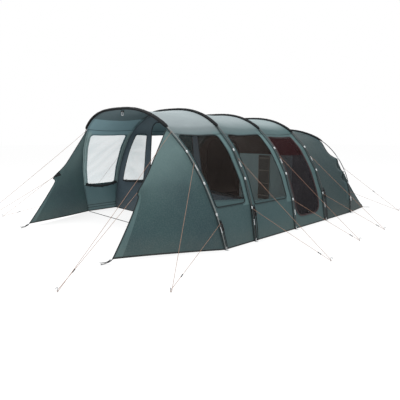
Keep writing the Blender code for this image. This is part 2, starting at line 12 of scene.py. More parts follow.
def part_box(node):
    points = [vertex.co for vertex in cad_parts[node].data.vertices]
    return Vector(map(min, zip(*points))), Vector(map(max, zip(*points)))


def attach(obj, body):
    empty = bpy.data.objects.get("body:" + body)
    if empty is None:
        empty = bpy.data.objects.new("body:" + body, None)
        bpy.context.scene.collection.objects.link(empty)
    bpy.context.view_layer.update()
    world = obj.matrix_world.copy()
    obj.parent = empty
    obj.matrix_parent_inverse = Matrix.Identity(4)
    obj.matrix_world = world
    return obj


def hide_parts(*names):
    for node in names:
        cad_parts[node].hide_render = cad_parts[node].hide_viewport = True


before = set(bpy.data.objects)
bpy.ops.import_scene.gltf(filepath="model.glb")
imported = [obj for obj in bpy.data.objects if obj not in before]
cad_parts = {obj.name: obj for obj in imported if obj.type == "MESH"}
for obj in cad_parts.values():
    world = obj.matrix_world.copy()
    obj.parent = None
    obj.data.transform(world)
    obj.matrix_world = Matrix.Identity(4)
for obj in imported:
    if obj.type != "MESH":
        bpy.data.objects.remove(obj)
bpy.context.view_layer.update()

Arch = namedtuple("Arch", "name y height half_width lean inset shoulder rise scallop")
ARCHES = (
    Arch("front", -1.635, 2.073, 2.00, 0.214, 0.030, 1.76, 1.212, 0.014),
    Arch("second", -0.970, 2.057, 2.00, 0.0, 0.030, 1.75, 1.212, 0.014),
    Arch("third", 0.149, 2.000, 2.00, 0.0, 0.030, 1.72, 1.212, 0.014),
    Arch("fourth", 1.176, 1.955, 2.00, 0.0, 0.030, 1.66, 1.212, 0.018),
    Arch("rear", 2.245, 1.730, 1.99, 0.0, 0.030, 1.48, 0.97, 0.080),
)
FRONT, SECOND, THIRD, FOURTH, REAR = ARCHES
WIDTH_POWER = 0.73
CLIP_HEIGHTS = (0.52, 0.95, 1.38)
REAR_CLIP_HEIGHTS = (0.32, 0.63, 0.86, 1.12)

# Along an arch, t is the height of a side wall up to the eave, then runs over the roof.
EAVE = 1.66
ROOF_SEAM = 1.655
OVER_ROOF = 3.0
SPAN = 2 * EAVE + OVER_ROOF

PORCH_WINDOW = (0.10, 0.89, 0.61, 1.640)
LIVING_WINDOW = (0.11, 0.89, 0.56, 1.640)
SIDE_DOOR = (0.09, 0.86, 0.20, 1.600)
SILLS = {PORCH_WINDOW: (0.120, 0.065), LIVING_WINDOW: (0.065, 0.035)}
BAY_SAG = 0.035
GRID = 0.045
HEM_WIDTH = 0.028
SHOULDER_INSET = 0.012

WING_CORNER = Vector((1.385, -3.095, 0.055))
WING_TAB_HEIGHT = 0.90
WING_TAB_REACH = 0.14
REAR_HEM_Y = 3.095
REAR_HEM_HALF = 1.88
BEDROOM_FRONT_Y = 1.09
BEDROOM_INSET = 0.15
BEDROOM_REAR_Y = 2.93
BEDROOM_DOOR = (-1.12, -0.12, 0.09, 1.50)

GUY_RADIUS = 0.0025
# Sag at the middle of a guy line's leg, as a share of its length.
GUY_SAG = 0.004
GUYS = {"wing": (0, (1.79, -3.990)), "front": (0, (2.61, -3.150)), "second": (1, (3.26, -1.020)),
        "third": (2, (3.09, 0.200)), "fourth": (3, (3.07, 1.205)), "rear": (4, (2.625, 3.147))}
GUY_HEIGHTS = {"front": (1.26, 0.40), "second": (1.25, 0.50), "third": (1.25, 0.50),
               "fourth": (1.20, 0.50), "rear": (0.92, 0.44)}
GUY_STEPS = 14
EYE_RADIUS = 0.009
EYE_HEIGHT = 0.016
RUNNERS = (("wing", 1, "lower", 0.28), ("front", 1, "lower", 0.30), ("second", 1, "lower", 0.17),
           ("third", 1, "lower", 0.14), ("fourth", 1, "lower", 0.12), ("rear", 1, "upper", 0.70),
           ("wing", -1, "lower", 0.28), ("front", -1, "lower", 0.30),
           ("second", -1, "lower", 0.17), ("third", -1, "lower", 0.14),
           ("fourth", -1, "lower", 0.12), ("rear", -1, "upper", 0.70))
CAD_RUNNERS = 8

SIDES = ((1, "right"), (-1, "left"))
UP = Vector((0, 0, 1))
BACK = Vector((0, 1, 0))


# Materials


def put(tree, kind, values=None, out=0, **settings):
    made = tree.nodes.new("ShaderNode" + kind)
    for key, value in settings.items():
        setattr(made, key, value)
    for key, value in (values or {}).items():
        if isinstance(value, bpy.types.NodeSocket):
            tree.links.new(value, made.inputs[key])
        else:
            made.inputs[key].default_value = value
    return made.outputs[out]


def math_node(tree, operation, a, b=0.0, clamp=False):
    return put(tree, "Math", {0: a, 1: b}, operation=operation, use_clamp=clamp)


def ramp(tree, value, low, high, to_low=0.0, to_high=1.0):
    return put(tree, "MapRange", {"Value": value, "From Min": low, "From Max": high,
                                  "To Min": to_low, "To Max": to_high},
               interpolation_type="SMOOTHSTEP")


def mixed(tree, share, a, b):
    """A colour mixed from a to b; either may be a colour or a socket."""
    a, b = (c if isinstance(c, bpy.types.NodeSocket) else (*c, 1.0) for c in (a, b))
    return put(tree, "Mix", {0: share, 6: a, 7: b}, out=2, data_type="RGBA")


def start(name):
    material = bpy.data.materials.new(name)
    material.use_nodes = True
    tree = material.node_tree
    return material, tree, tree.nodes["Principled BSDF"]


def weave(tree, scale):
    """The height of a plain weave, in object coordinates, so that it needs no UVs."""
    where = put(tree, "TexCoord", out=3)
    bands = [put(tree, "TexWave", {"Vector": where, "Scale": scale, "Distortion": 0.4},
                 out=1, wave_type="BANDS", bands_direction=way) for way in ("Y", "Z")]
    return math_node(tree, "MULTIPLY", *bands)


def cloth(name, colour, painted_light=None, bands=(), hem=None, weave_scale=260, roughness=0.62,
          wrinkle=0.5, translucent=0.10, stitches=True, seams=(), shade=0.12, painted_shading=None):
    """Woven polyester. The UV map holds metres from the back seam and metres up the wall, and the
    attribute edge the distance to the nearest edge. painted_light = (colour, from, to) is painted
    sheen and light, a paler colour fading in up the roof; bands are strips (colour, across from,
    across to, up from, up to, taper); hem is a colour; painted_shading = (colour, across from,
    across to, up from, up to) is an area painted paler or darker as painted light and shade."""
    material, tree, shader = start(name)
    uv = put(tree, "UVMap", uv_map="metres")
    split = tree.nodes.new("ShaderNodeSeparateXYZ")
    tree.links.new(uv, split.inputs[0])
    across, up = split.outputs[0], split.outputs[1]
    edge = put(tree, "Attribute", out=2, attribute_name="edge")
    where = put(tree, "TexCoord", out=3)
    tone = colour
    # Painted sheen and light: a paler colour fades in up the roof.
    if painted_light:
        tone = mixed(tree, ramp(tree, up, painted_light[1], painted_light[2]), colour, painted_light[0])
    # Painted light and shade: an area is painted paler or darker.
    if painted_shading:
        mask = math_node(tree, "MULTIPLY", ramp(tree, across, painted_shading[1], painted_shading[2]),
                         ramp(tree, up, painted_shading[3], painted_shading[4]))
        tone = mixed(tree, mask, tone, painted_shading[0])
    for shade_of, first, last, low, high, taper in bands:
        tapered = math_node(tree, "ADD", across, math_node(tree, "MULTIPLY", up, taper))
        wide = math_node(tree, "MULTIPLY", ramp(tree, tapered, first - 0.004, first + 0.004),
                         ramp(tree, tapered, last - 0.006, last + 0.002, 1.0, 0.0))
        tall = math_node(tree, "MULTIPLY", ramp(tree, up, low - 0.01, low),
                         ramp(tree, up, high, high + 0.2, 1.0, 0.0))
        tone = mixed(tree, math_node(tree, "MULTIPLY", wide, tall), tone, shade_of)
    cloudy = put(tree, "TexNoise", {"Vector": where, "Scale": 1.3, "Detail": 3.0}, out=0)
    tone = mixed(tree, ramp(tree, cloudy, 0.35, 0.70, 0.0, shade), tone, (0.02, 0.035, 0.05))
    grain = put(tree, "TexNoise", {"Vector": where, "Scale": 60.0, "Detail": 2.0}, out=0)
    tone = mixed(tree, ramp(tree, grain, 0.3, 0.8, 0.0, 0.06), tone, (0.35, 0.40, 0.40))
    for height in seams:
        gap = math_node(tree, "ABSOLUTE", math_node(tree, "SUBTRACT", up, height))
        tone = mixed(tree, ramp(tree, gap, 0.004, 0.010, 0.75, 0.0), tone, (0.012, 0.018, 0.020))
    if hem:
        tone = mixed(tree, ramp(tree, up, 0.016, 0.026, 1.0, 0.0), tone, hem)
        dust = math_node(tree, "MULTIPLY", ramp(tree, up, 0.05, 0.35, 0.22, 0.0),
                         put(tree, "TexNoise", {"Vector": where, "Scale": 9.0, "Detail": 5.0}, out=0))
        tone = mixed(tree, dust, tone, (0.16, 0.15, 0.12))
    height = math_node(tree, "MULTIPLY", weave(tree, weave_scale), 0.12)
    if stitches:
        row = math_node(tree, "ABSOLUTE", math_node(tree, "SUBTRACT", edge, 0.015))
        line = ramp(tree, row, 0.0012, 0.0026, 1.0, 0.0)
        split_where = tree.nodes.new("ShaderNodeSeparateXYZ")
        tree.links.new(where, split_where.inputs[0])
        run = math_node(tree, "ADD", split_where.outputs[1], split_where.outputs[2])
        dash = math_node(tree, "GREATER_THAN",
                         math_node(tree, "SINE", math_node(tree, "MULTIPLY", run, 900.0)), -0.3)
        stitch = math_node(tree, "MULTIPLY", line, dash)
        tone = mixed(tree, math_node(tree, "MULTIPLY", stitch, 0.8), tone, (0.01, 0.014, 0.015))
        tone = mixed(tree, ramp(tree, edge, 0.020, 0.026, 0.22, 0.0), tone, (0.02, 0.03, 0.032))
        height = math_node(tree, "ADD", height, ramp(tree, edge, 0.022, 0.028, 1.2, 0.0))
        height = math_node(tree, "SUBTRACT", height, stitch)
    folds = put(tree, "TexNoise", {"Vector": where, "Scale": 3.2, "Detail": 4.0,
                                   "Distortion": 0.6}, out=0)
    height = math_node(tree, "ADD", height, math_node(tree, "MULTIPLY", folds, wrinkle * 14))
    bump = put(tree, "Bump", {"Strength": 0.45, "Distance": 0.0022, "Height": height})
    rough = math_node(tree, "ADD", roughness - 0.08,
                      math_node(tree, "MULTIPLY", cloudy, 0.16))
    tree.links.new(tone, shader.inputs["Base Color"])
    tree.links.new(rough, shader.inputs["Roughness"])
    tree.links.new(bump, shader.inputs["Normal"])
    shader.inputs["Specular IOR Level"].default_value = 0.16
    if translucent:
        through = put(tree, "BsdfTranslucent", {"Color": tone, "Normal": bump})
        both = put(tree, "MixShader", {0: translucent, 1: shader.outputs[0], 2: through})
        tree.links.new(both, tree.nodes["Material Output"].inputs["Surface"])
    return material


def film(name, colour, alpha, roughness=0.07, gloss=0.25):
    """Clear or tinted window film, or film painted dark as painted shade, with faint waves and paler
    streaks painted in as reflections.
    """
    material, tree, shader = start(name)
    where = put(tree, "TexCoord", out=3)
    tilted = put(tree, "Mapping", {"Vector": where, "Rotation": (0.75, 0.0, 0.0),
                                   "Scale": (1.0, 2.8, 0.36)}, vector_type="TEXTURE")
    # Painted reflections: paler, more opaque diagonal streaks.
    reflection_streak = put(tree, "TexNoise", {"Vector": tilted, "Scale": 2.0, "Detail": 3.0,
                                    "Distortion": 0.3}, out=0)
    waves = put(tree, "TexNoise", {"Vector": where, "Scale": 5.0, "Detail": 2.0}, out=0)
    tone = mixed(tree, ramp(tree, reflection_streak, 0.4, 0.75, 0.0, 0.35), colour, [c * 1.3 for c in colour])
    bump = put(tree, "Bump", {"Strength": 0.25, "Distance": 0.006, "Height": waves})
    tree.links.new(tone, shader.inputs["Base Color"])
    tree.links.new(ramp(tree, reflection_streak, 0.35, 0.75, alpha - 0.05, alpha + 0.06), shader.inputs["Alpha"])
    tree.links.new(ramp(tree, reflection_streak, 0.3, 0.8, roughness, roughness + 0.12),
                   shader.inputs["Roughness"])
    tree.links.new(bump, shader.inputs["Normal"])
    shader.inputs["Specular IOR Level"].default_value = gloss
    return material


def mesh_cloth(name, colour, alpha, upper, above):
    """Fine insect mesh: threads with open squares between them, and a second colour higher up."""
    material, tree, shader = start(name)
    where = put(tree, "TexCoord", out=3)
    threads = [put(tree, "TexWave", {"Vector": where, "Scale": 190.0}, out=1,
                   wave_type="BANDS", bands_direction=way) for way in ("Y", "Z")]
    height = math_node(tree, "MAXIMUM", *threads)
    cloudy = put(tree, "TexNoise", {"Vector": where, "Scale": 2.0, "Detail": 3.0}, out=0)
    tone = mixed(tree, ramp(tree, cloudy, 0.3, 0.8), colour, [c * 1.5 for c in colour])
    split = tree.nodes.new("ShaderNodeSeparateXYZ")
    tree.links.new(where, split.inputs[0])
    tone = mixed(tree, ramp(tree, split.outputs[2], above - 0.01, above + 0.01), tone, upper)
    bump = put(tree, "Bump", {"Strength": 0.5, "Distance": 0.0008, "Height": height})
    tree.links.new(tone, shader.inputs["Base Color"])
    tree.links.new(ramp(tree, height, 0.2, 0.8, alpha - 0.12, alpha + 0.08), shader.inputs["Alpha"])
    tree.links.new(bump, shader.inputs["Normal"])
    shader.inputs["Roughness"].default_value = 0.85
    shader.inputs["Specular IOR Level"].default_value = 0.1
    return material


def solid(name, colour, roughness=0.4, metallic=0.0, grain=40.0, wear=0.15, bands=None, light=None,
          gloss=0.5):
    """Moulded plastic, wire, rod, cord or webbing, with grain, worn tone and fine relief."""
    material, tree, shader = start(name)
    where = put(tree, "TexCoord", out=3)
    rub = put(tree, "TexNoise", {"Vector": where, "Scale": grain, "Detail": 4.0}, out=0)
    light = light or [min(1.0, c * 1.9 + 0.02) for c in colour]
    tone = mixed(tree, ramp(tree, rub, 0.45, 0.8, 0.0, wear), colour, light)
    height = rub
    if bands:
        rib = put(tree, "TexWave", {"Vector": where, "Scale": bands, "Distortion": 0.5}, out=1,
                  wave_type="BANDS", bands_direction="DIAGONAL")
        height = math_node(tree, "ADD", math_node(tree, "MULTIPLY", rib, 1.5), rub)
        tone = mixed(tree, ramp(tree, rib, 0.2, 0.9, 0.0, wear * 0.8), tone, light)
    bump = put(tree, "Bump", {"Strength": 0.35, "Distance": 0.0006, "Height": height})
    tree.links.new(tone, shader.inputs["Base Color"])
    tree.links.new(ramp(tree, rub, 0.3, 0.8, roughness - 0.06, roughness + 0.1),
                   shader.inputs["Roughness"])
    tree.links.new(bump, shader.inputs["Normal"])
    shader.inputs["Metallic"].default_value = metallic
    shader.inputs["Specular IOR Level"].default_value = gloss
    return material


TEAL = (0.048, 0.090, 0.094)
TEAL_LIGHT = (0.092, 0.160, 0.163)
# Painted sheen: the roof's pale grey stands in for the light the roof reflects.
ROOF_SHEEN = (0.200, 0.235, 0.243)
HEM = (0.014, 0.018, 0.019)

LINING_STRIP = (0.235, 0.335, 0.335)

MATERIALS = {
    # The flysheets' paler roof colours are painted sheen.
    "fly_front": cloth("flysheet_front", TEAL, painted_light=(ROOF_SHEEN, 1.50, 1.94),
                       bands=((TEAL_LIGHT, -1, 0.12, 0.58, 1.60, 0),), hem=HEM, seams=(ROOF_SEAM,)),
    "fly_living": cloth("flysheet_living", TEAL, painted_light=((0.215, 0.256, 0.264), 1.58, 2.20),
                        bands=((TEAL_LIGHT, -1, 0.13, 0.50, 1.60, 0),), hem=HEM, seams=(ROOF_SEAM,)),
    "fly_door": cloth("flysheet_door", TEAL, painted_light=((0.200, 0.250, 0.256), 1.70, 2.20),
                      bands=(((0.066, 0.120, 0.123), -1, 0.12, 0.45, 1.58, 0),), hem=HEM,
                      seams=(ROOF_SEAM,)),
    # Painted shade: the rear bay and rear wall take the teal fly painted darker.
    "fly_rear": cloth("flysheet_rear_shaded", (0.028, 0.050, 0.052), painted_light=((0.048, 0.080, 0.084), 2.2, 3.0),
                      bands=(((0.040, 0.070, 0.074), -1, 0.10, 0.30, 1.50, 0),), hem=HEM,
                      seams=(ROOF_SEAM,)),
    # Painted light and shade: the lining's roof is painted paler, and its top darker again.
    "lining": cloth("porch_lining", (0.100, 0.176, 0.190), painted_light=((0.215, 0.350, 0.390), 1.62, 1.68),
                    bands=((LINING_STRIP, -1, 0.06, 0.60, 1.60, 0),
                           ((0.330, 0.470, 0.470), 0.61, 9, 0.60, 1.60, 0)), hem=HEM,
                    seams=(0.085, 0.14, 1.78, 2.22),
                    painted_shading=((0.105, 0.155, 0.170), -1.0, -0.5, 2.20, 2.24)),
    # Painted light: a paler strip down the wing's leading edge and a paler upper front area, where the
    # cloth turns toward the light.
    "wing": cloth("wing_cloth", (0.039, 0.077, 0.080),
                  bands=(((0.080, 0.138, 0.140), -1, 0.13, -0.1, 0.95, 0.12),),
                  hem=HEM, shade=0.35, painted_shading=((0.100, 0.160, 0.160), 1.05, 0.25, 0.5, 1.35)),
    "sill": cloth("window_sill_cloth", (0.052, 0.096, 0.100)),
    # Painted light: the cross wall is painted paler above 1.6 m.
    "wall": cloth("cross_wall_cloth", (0.058, 0.082, 0.100), hem=HEM,
                  painted_shading=((0.095, 0.130, 0.150), -1.0, -0.5, 1.60, 1.80)),
    "inner": cloth("inner_tent_cloth", (0.170, 0.130, 0.110), translucent=0.35, stitches=False),
    "ground": cloth("groundsheet_cloth", (0.060, 0.064, 0.068), translucent=0.0, weave_scale=120,
                    roughness=0.75),
    "sleeve": solid("pole_sleeve_cloth", (0.006, 0.007, 0.008), 0.85, grain=18.0, bands=160.0,
                    light=(0.020, 0.022, 0.023), gloss=0.15),
    "webbing": solid("webbing", (0.006, 0.006, 0.007), 0.85, grain=90.0, bands=220.0,
                     light=(0.022, 0.022, 0.024), gloss=0.15),
    "piping": solid("seam_piping", (0.010, 0.013, 0.014), 0.75, grain=70.0, bands=180.0, gloss=0.2),
    "blind": solid("rolled_blind_cloth", (0.018, 0.021, 0.023), 0.85, grain=14.0, bands=90.0,
                   light=(0.035, 0.040, 0.043), gloss=0.15),
    "zip_red": solid("zip_tape", (0.024, 0.007, 0.009), 0.6, grain=90.0, bands=260.0),
    "pole": solid("pole_rod", (0.044, 0.048, 0.049), 0.45, grain=24.0, wear=0.3, gloss=0.4),
    "pole_pale": solid("front_pole_rod", (0.150, 0.162, 0.160), 0.42, grain=24.0, wear=0.3, gloss=0.4),
    "ferrule": solid("ferrule_metal", (0.50, 0.51, 0.52), 0.25, metallic=0.9, grain=60.0),
    "clip": solid("clip_plastic", (0.50, 0.52, 0.53), 0.35, grain=45.0, light=(0.64, 0.66, 0.67)),
    "pocket_brown": solid("pocket_cloth", (0.140, 0.138, 0.126), 0.85, grain=30.0, bands=200.0,
                          gloss=0.2),
    "pocket": solid("pocket_tape", (0.30, 0.28, 0.25), 0.8, grain=60.0, bands=200.0, gloss=0.2),
    "plastic": solid("runner_plastic_black", (0.013, 0.013, 0.014), 0.38, grain=50.0),
    "steel": solid("peg_wire", (0.40, 0.41, 0.42), 0.30, metallic=1.0, grain=80.0, wear=0.4),
    "guy": solid("guy_cord", (0.215, 0.112, 0.070), 0.65, grain=120.0, bands=420.0, wear=0.3),
    # Painted shade: the near windows' clear film is painted dark for the shaded inside seen through it.
    "film_near": film("window_film_painted_dark", (0.024, 0.019, 0.017), 0.36, roughness=0.2, gloss=0.03),
    "film_far": film("window_film_clear", (0.22, 0.42, 0.48), 0.34),
    "film_cross": film("cross_window_film", (0.14, 0.26, 0.29), 0.44),
    "mesh": mesh_cloth("door_mesh", (0.012, 0.011, 0.013), 0.84, (0.016, 0.003, 0.004), 1.235),
}


# Pieces


def link(name, mesh, material=None, body="tent", nodes=()):
    thing = bpy.data.objects.new(name, mesh)
    bpy.context.collection.objects.link(thing)
    if material:
        mesh.materials.append(MATERIALS[material])
    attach(thing, body)
    if nodes:
        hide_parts(*nodes)
    return thing


def mesh_of(name, points, faces, sharp=55):
    mesh = bpy.data.meshes.new(name)
    mesh.from_pydata([tuple(p) for p in points], [], [tuple(int(i) for i in f) for f in faces])
    mesh.validate()
    mesh.shade_smooth()
    mesh.set_sharp_from_angle(angle=math.radians(sharp))
    return mesh


def swept(line, profile, across=BACK, closed=False):
    """Points and faces of a profile of (across, outward) offsets carried along a line."""
    count, sides = len(line), len(profile(0) if callable(profile) else profile)
    points, faces = [], []
    for i, point in enumerate(line):
        before = line[i - 1] if closed or i else line[0]
        after = line[(i + 1) % count] if closed or i < count - 1 else line[-1]
        forward = (after - before).normalized()
        over = across[i] if isinstance(across, list) else across
        up = forward.cross(over).normalized()
        over = up.cross(forward).normalized()
        for a, b in (profile(i) if callable(profile) else profile):
            points.append(point + a * over + b * up)
    for i in range(count if closed else count - 1):
        for k in range(sides):
            n, j = (k + 1) % sides, (i + 1) % count
            faces.append((i * sides + k, i * sides + n, j * sides + n, j * sides + k))
    if not closed:
        faces.append(tuple(range(sides))[::-1])
        faces.append(tuple((count - 1) * sides + k for k in range(sides)))
    return points, faces


def circle(radius, sides=10, flat=1.0):
    return [(radius * math.cos(a), radius * flat * math.sin(a))
            for a in (2 * math.pi * k / sides for k in range(sides))]


def strip(width, thick):
    half, r = width / 2, thick / 2
    return [(-half, -r * .5), (-half, r * .5), (-half + r, r), (half - r, r),
            (half, r * .5), (half, -r * .5), (half - r, -r), (-half + r, -r)]


class Batch:
    """Several small solids gathered in one mesh."""

    def __init__(self):
        self.points, self.faces = [], []

    def add(self, points, faces):
        base = len(self.points)
        self.points += list(points)
        self.faces += [tuple(i + base for i in f) for f in faces]

    def tube(self, line, radius, sides=8, across=BACK, closed=False, flat=1.0):
        self.add(*swept(line, circle(radius, sides, flat), across, closed))

    def tape(self, line, width, thick, across):
        self.add(*swept(line, strip(width, thick), across))

    def frame(self, centre, x, y, half_x, half_y, radius):
        """A rounded rectangular ring of round wire or plastic."""
        line = []
        for sx, sy, begin in ((1, 1, 0), (-1, 1, 1), (-1, -1, 2), (1, -1, 3)):
            corner = radius * 1.4
            for k in range(4):
                a = math.pi / 2 * (begin + k / 3)
                line.append(centre + x * (sx * (half_x - corner) + corner * math.cos(a))
                            + y * (sy * (half_y - corner) + corner * math.sin(a)))
        self.tube(line, radius, 7, x.cross(y), closed=True)

    def build(self, name, material, body="tent", nodes=(), slot=None):
        return link(name, mesh_of(name, self.points, self.faces), material, body, nodes)


# Arches


def arch_table(arch):
    turn = np.linspace(0, math.pi / 2, 1600)
    x = np.cos(turn) ** WIDTH_POWER * arch.half_width
    x[-1] = 0.0
    rise = np.sin(turn) ** arch.rise * arch.height
    z = rise * math.cos(arch.lean)
    arc = np.concatenate([[0], np.cumsum(np.hypot(np.diff(x), np.diff(rise)))])
    at_eave = np.interp(EAVE, z, arc)
    over = EAVE + (arc - at_eave) / (arc[-1] - at_eave) * OVER_ROOF / 2
    t = np.where(z <= EAVE, z, over)
    dx, dr = np.gradient(x, arc), np.gradient(rise, arc)
    size = np.hypot(dx, dr)
    nx, nr = dr / size, -dx / size
    nx[-1], nr[-1] = 0.0, 1.0
    return t, x, rise, nx, nr, arc


TABLES = {arch.name: arch_table(arch) for arch in ARCHES}


def on_arch(arch, t, inset=0.0):
    """Points of the arch at each t, moved in by an inset."""
    table, x, rise, nx, nr, _ = TABLES[arch.name]
    t = np.asarray(t, float)
    m = np.clip(np.minimum(t, SPAN - t), 0.0, SPAN / 2)
    side = np.where(t <= SPAN / 2, 1.0, -1.0)
    px = np.interp(m, table, x) - inset * np.interp(m, table, nx)
    pr = np.interp(m, table, rise) - inset * np.interp(m, table, nr)
    return np.stack([side * px, arch.y - pr * math.sin(arch.lean), pr * math.cos(arch.lean)], -1)


def out_of(arch, t):
    """The outward direction at each t."""
    table, _, _, nx, nr, _ = TABLES[arch.name]
    m = np.clip(np.minimum(t, SPAN - t), 0.0, SPAN / 2)
    side = np.where(np.asarray(t) <= SPAN / 2, 1.0, -1.0)
    a, b = np.interp(m, table, nx), np.interp(m, table, nr)
    return np.stack([side * a, -b * math.sin(arch.lean), b * math.cos(arch.lean)], -1)


def leg(arch, z, side, inset=0.0):
    """The leg's point at a height above the ground."""
    p = on_arch(arch, np.array([z if side > 0 else SPAN - z]), inset)[0]
    return Vector(p)


def shoulder_of(arch):
    """The t of the sleeve's end."""
    z = arch.shoulder * math.cos(arch.lean)
    table, x, rise, _, _, _ = TABLES[arch.name]
    return float(np.interp(z, rise * math.cos(arch.lean), table))


def edge_inset(arch, t, away=0.0):
    """How far in the fabric lies near an arch: it is held at each clip, scallops between them,
    and evens out away from the arch."""
    m = np.minimum(t, SPAN - t)
    top = shoulder_of(arch)
    marks = [0.0, *CLIP_HEIGHTS, top]
    if arch is REAR:
        marks = [0.0, *REAR_CLIP_HEIGHTS, top]
    phase = np.interp(m, marks, range(len(marks)))
    bow = np.abs(np.sin(math.pi * phase)) * arch.scallop * np.exp(-(np.asarray(away) / 0.13) ** 2)
    if arch is REAR:
        bow *= np.clip((m - REAR_CLIP_HEIGHTS[1]) / 0.06, 0, 1)
    return np.where(m > top, SHOULDER_INSET, arch.inset - 0.006 + bow)


# Cloth patches


def inside(outline, points):
    """Which points lie in a polygon."""
    x, y = points[:, 0], points[:, 1]
    hit = np.zeros(len(points), bool)
    for (ax, ay), (bx, by) in zip(outline, np.roll(outline, -1, 0)):
        cross = (ay > y) != (by > y)
        if ay != by:
            hit ^= cross & (x < (bx - ax) * (y - ay) / (by - ay) + ax)
    return hit


def refined(outline, step):
    """The outline with points at most a step apart."""
    made = []
    for a, b in zip(outline, np.roll(outline, -1, 0)):
        count = max(1, math.ceil(np.hypot(*(b - a)) / step))
        made += [a + (b - a) * k / count for k in range(count)]
    return np.array(made)


def ring_normals(ring):
    along = np.roll(ring, -1, 0) - np.roll(ring, 1, 0)
    return np.stack([along[:, 1], -along[:, 0]], -1) / np.linalg.norm(along, axis=1)[:, None]


def patch(outline, holes=(), step=GRID):
    """Triangles over an outline with holes, in flat coordinates, and each point's edge distance."""
    rings = [refined(np.asarray(r, float), step) for r in (outline, *holes)]
    border = np.concatenate(rings)
    low, high = rings[0].min(0), rings[0].max(0)
    rows = []
    for j in range(int((high[1] - low[1]) / (step * 0.87)) + 1):
        xs = np.arange(low[0] + (j % 2) * step / 2, high[0], step)
        rows.append(np.stack([xs, np.full(len(xs), low[1] + j * step * 0.87)], -1))
    grid = np.concatenate(rows)
    keep = inside(rings[0], grid)
    for ring in rings[1:]:
        keep &= ~inside(ring, grid)
    tree = kdtree.KDTree(len(border))
    for i, p in enumerate(border):
        tree.insert((p[0], p[1], 0), i)
    tree.balance()
    hem = np.concatenate([ring + way * HEM_WIDTH * ring_normals(ring) for ring in rings
                          for way in (1, -1)])
    hem = hem[np.array([tree.find((p[0], p[1], 0))[2] > HEM_WIDTH * 0.93 for p in hem])]
    on_cloth = inside(rings[0], hem)
    for ring in rings[1:]:
        on_cloth &= ~inside(ring, hem)
    far = [tree.find((p[0], p[1], 0))[2] > HEM_WIDTH + step * 0.4 for p in grid]
    grid = grid[keep & np.array(far)]
    points = np.concatenate([border, hem[on_cloth], grid])
    edges, base = [], 0
    for ring in rings:
        edges += [(base + i, base + (i + 1) % len(ring)) for i in range(len(ring))]
        base += len(ring)
    made = delaunay_2d_cdt([Vector(p) for p in points], edges, [], 0, 1e-7)
    flat = np.array([tuple(p) for p in made[0]])
    faces = np.array([f for f in made[2] if len(f) == 3])
    middle = flat[faces].mean(1)
    keep = inside(rings[0], middle)
    for ring in rings[1:]:
        keep &= ~inside(ring, middle)
    faces = faces[keep]
    edge = np.array([tree.find((p[0], p[1], 0))[2] for p in flat])
    return flat, faces, edge


def cloth_piece(name, flat, faces, edge, place, metres, material, body="tent", nodes=(),
                slot="flysheet"):
    """A cloth object from a flat patch, its placing function and its UVs in metres."""
    points = place(flat)
    mesh = mesh_of(name, points, faces, sharp=80)
    layer = mesh.uv_layers.new(name="metres")
    uv = metres(flat)
    index = np.empty(len(mesh.loops), np.int32)
    mesh.loops.foreach_get("vertex_index", index)
    layer.data.foreach_set("uv", uv[index].astype(np.float32).ravel())
    held = mesh.attributes.new("edge", "FLOAT", "POINT")
    held.data.foreach_set("value", edge.astype(np.float32))
    return link(name, mesh, material, body, nodes)


def ripple(points, size, scale, seed):
    """Small in-and-out waves for each point."""
    shift = Vector((seed * 7.3, seed * 3.1, seed * 5.7))
    return np.array([noise.noise(Vector(p) * scale + shift) * size for p in points])


def bay_place(front, back, width, depth=0.0, sag=BAY_SAG):
    """Puts flat points (metres from the front seam, t) on the fabric between two arches."""
    def place(flat):
        u, t = np.clip(flat[:, 0] / width, 0, 1), flat[:, 1]
        a = on_arch(front, t, edge_inset(front, t, u * width) + depth)
        b = on_arch(back, t, edge_inset(back, t, (1 - u) * width) + depth)
        out = out_of(front, t) * (1 - u)[:, None] + out_of(back, t) * u[:, None]
        out /= np.linalg.norm(out, axis=1)[:, None]
        p = a * (1 - u)[:, None] + b * u[:, None]
        m = np.minimum(t, SPAN - t)
        slack = 4 * u * (1 - u)
        dip = sag * slack * np.clip(m / 0.5, 0, 1)
        dip += slack * ripple(p, 0.010, 2.2, 1) + slack * ripple(p, 0.004, 7.0, 2)
        p = p - out * (dip * np.clip(m / 0.25, 0, 1))[:, None]
        p[:, 2] = np.maximum(p[:, 2], 0.001)
        return p
    return place


def bay_metres(width):
    def metres(flat):
        return np.stack([width - flat[:, 0], np.minimum(flat[:, 1], SPAN - flat[:, 1])], -1)
    return metres


def rounded(corners, radii, steps=6):
    line = []
    for i, corner in enumerate(corners):
        here = Vector(corner)
        before = (Vector(corners[i - 1]) - here).normalized()
        after = (Vector(corners[(i + 1) % len(corners)]) - here).normalized()
        a, b = here + radii[i] * before, here + radii[i] * after
        for k in range(steps + 1):
            s = k / steps
            line.append(a.lerp(here, s).lerp(here.lerp(b, s), s))
    return line


def opening(width, window, side, grow=0.0, low_radius=0.05):
    """A window's outline in a bay's flat coordinates; grow moves it out."""
    left, right, bottom, top = window
    y = [left * width - grow, right * width + grow]
    z = [bottom - grow, top + grow]
    corners = [(y[0], z[0]), (y[1], z[0]), (y[1], z[1]), (y[0], z[1])]
    line = rounded(corners, (low_radius, low_radius, 0.05, 0.05))
    return np.array([(p.x, p.y if side > 0 else SPAN - p.y) for p in line])


def on_surface(place, outline, step=0.03):
    return [Vector(p) for p in place(refined(outline, step))]


# Camera


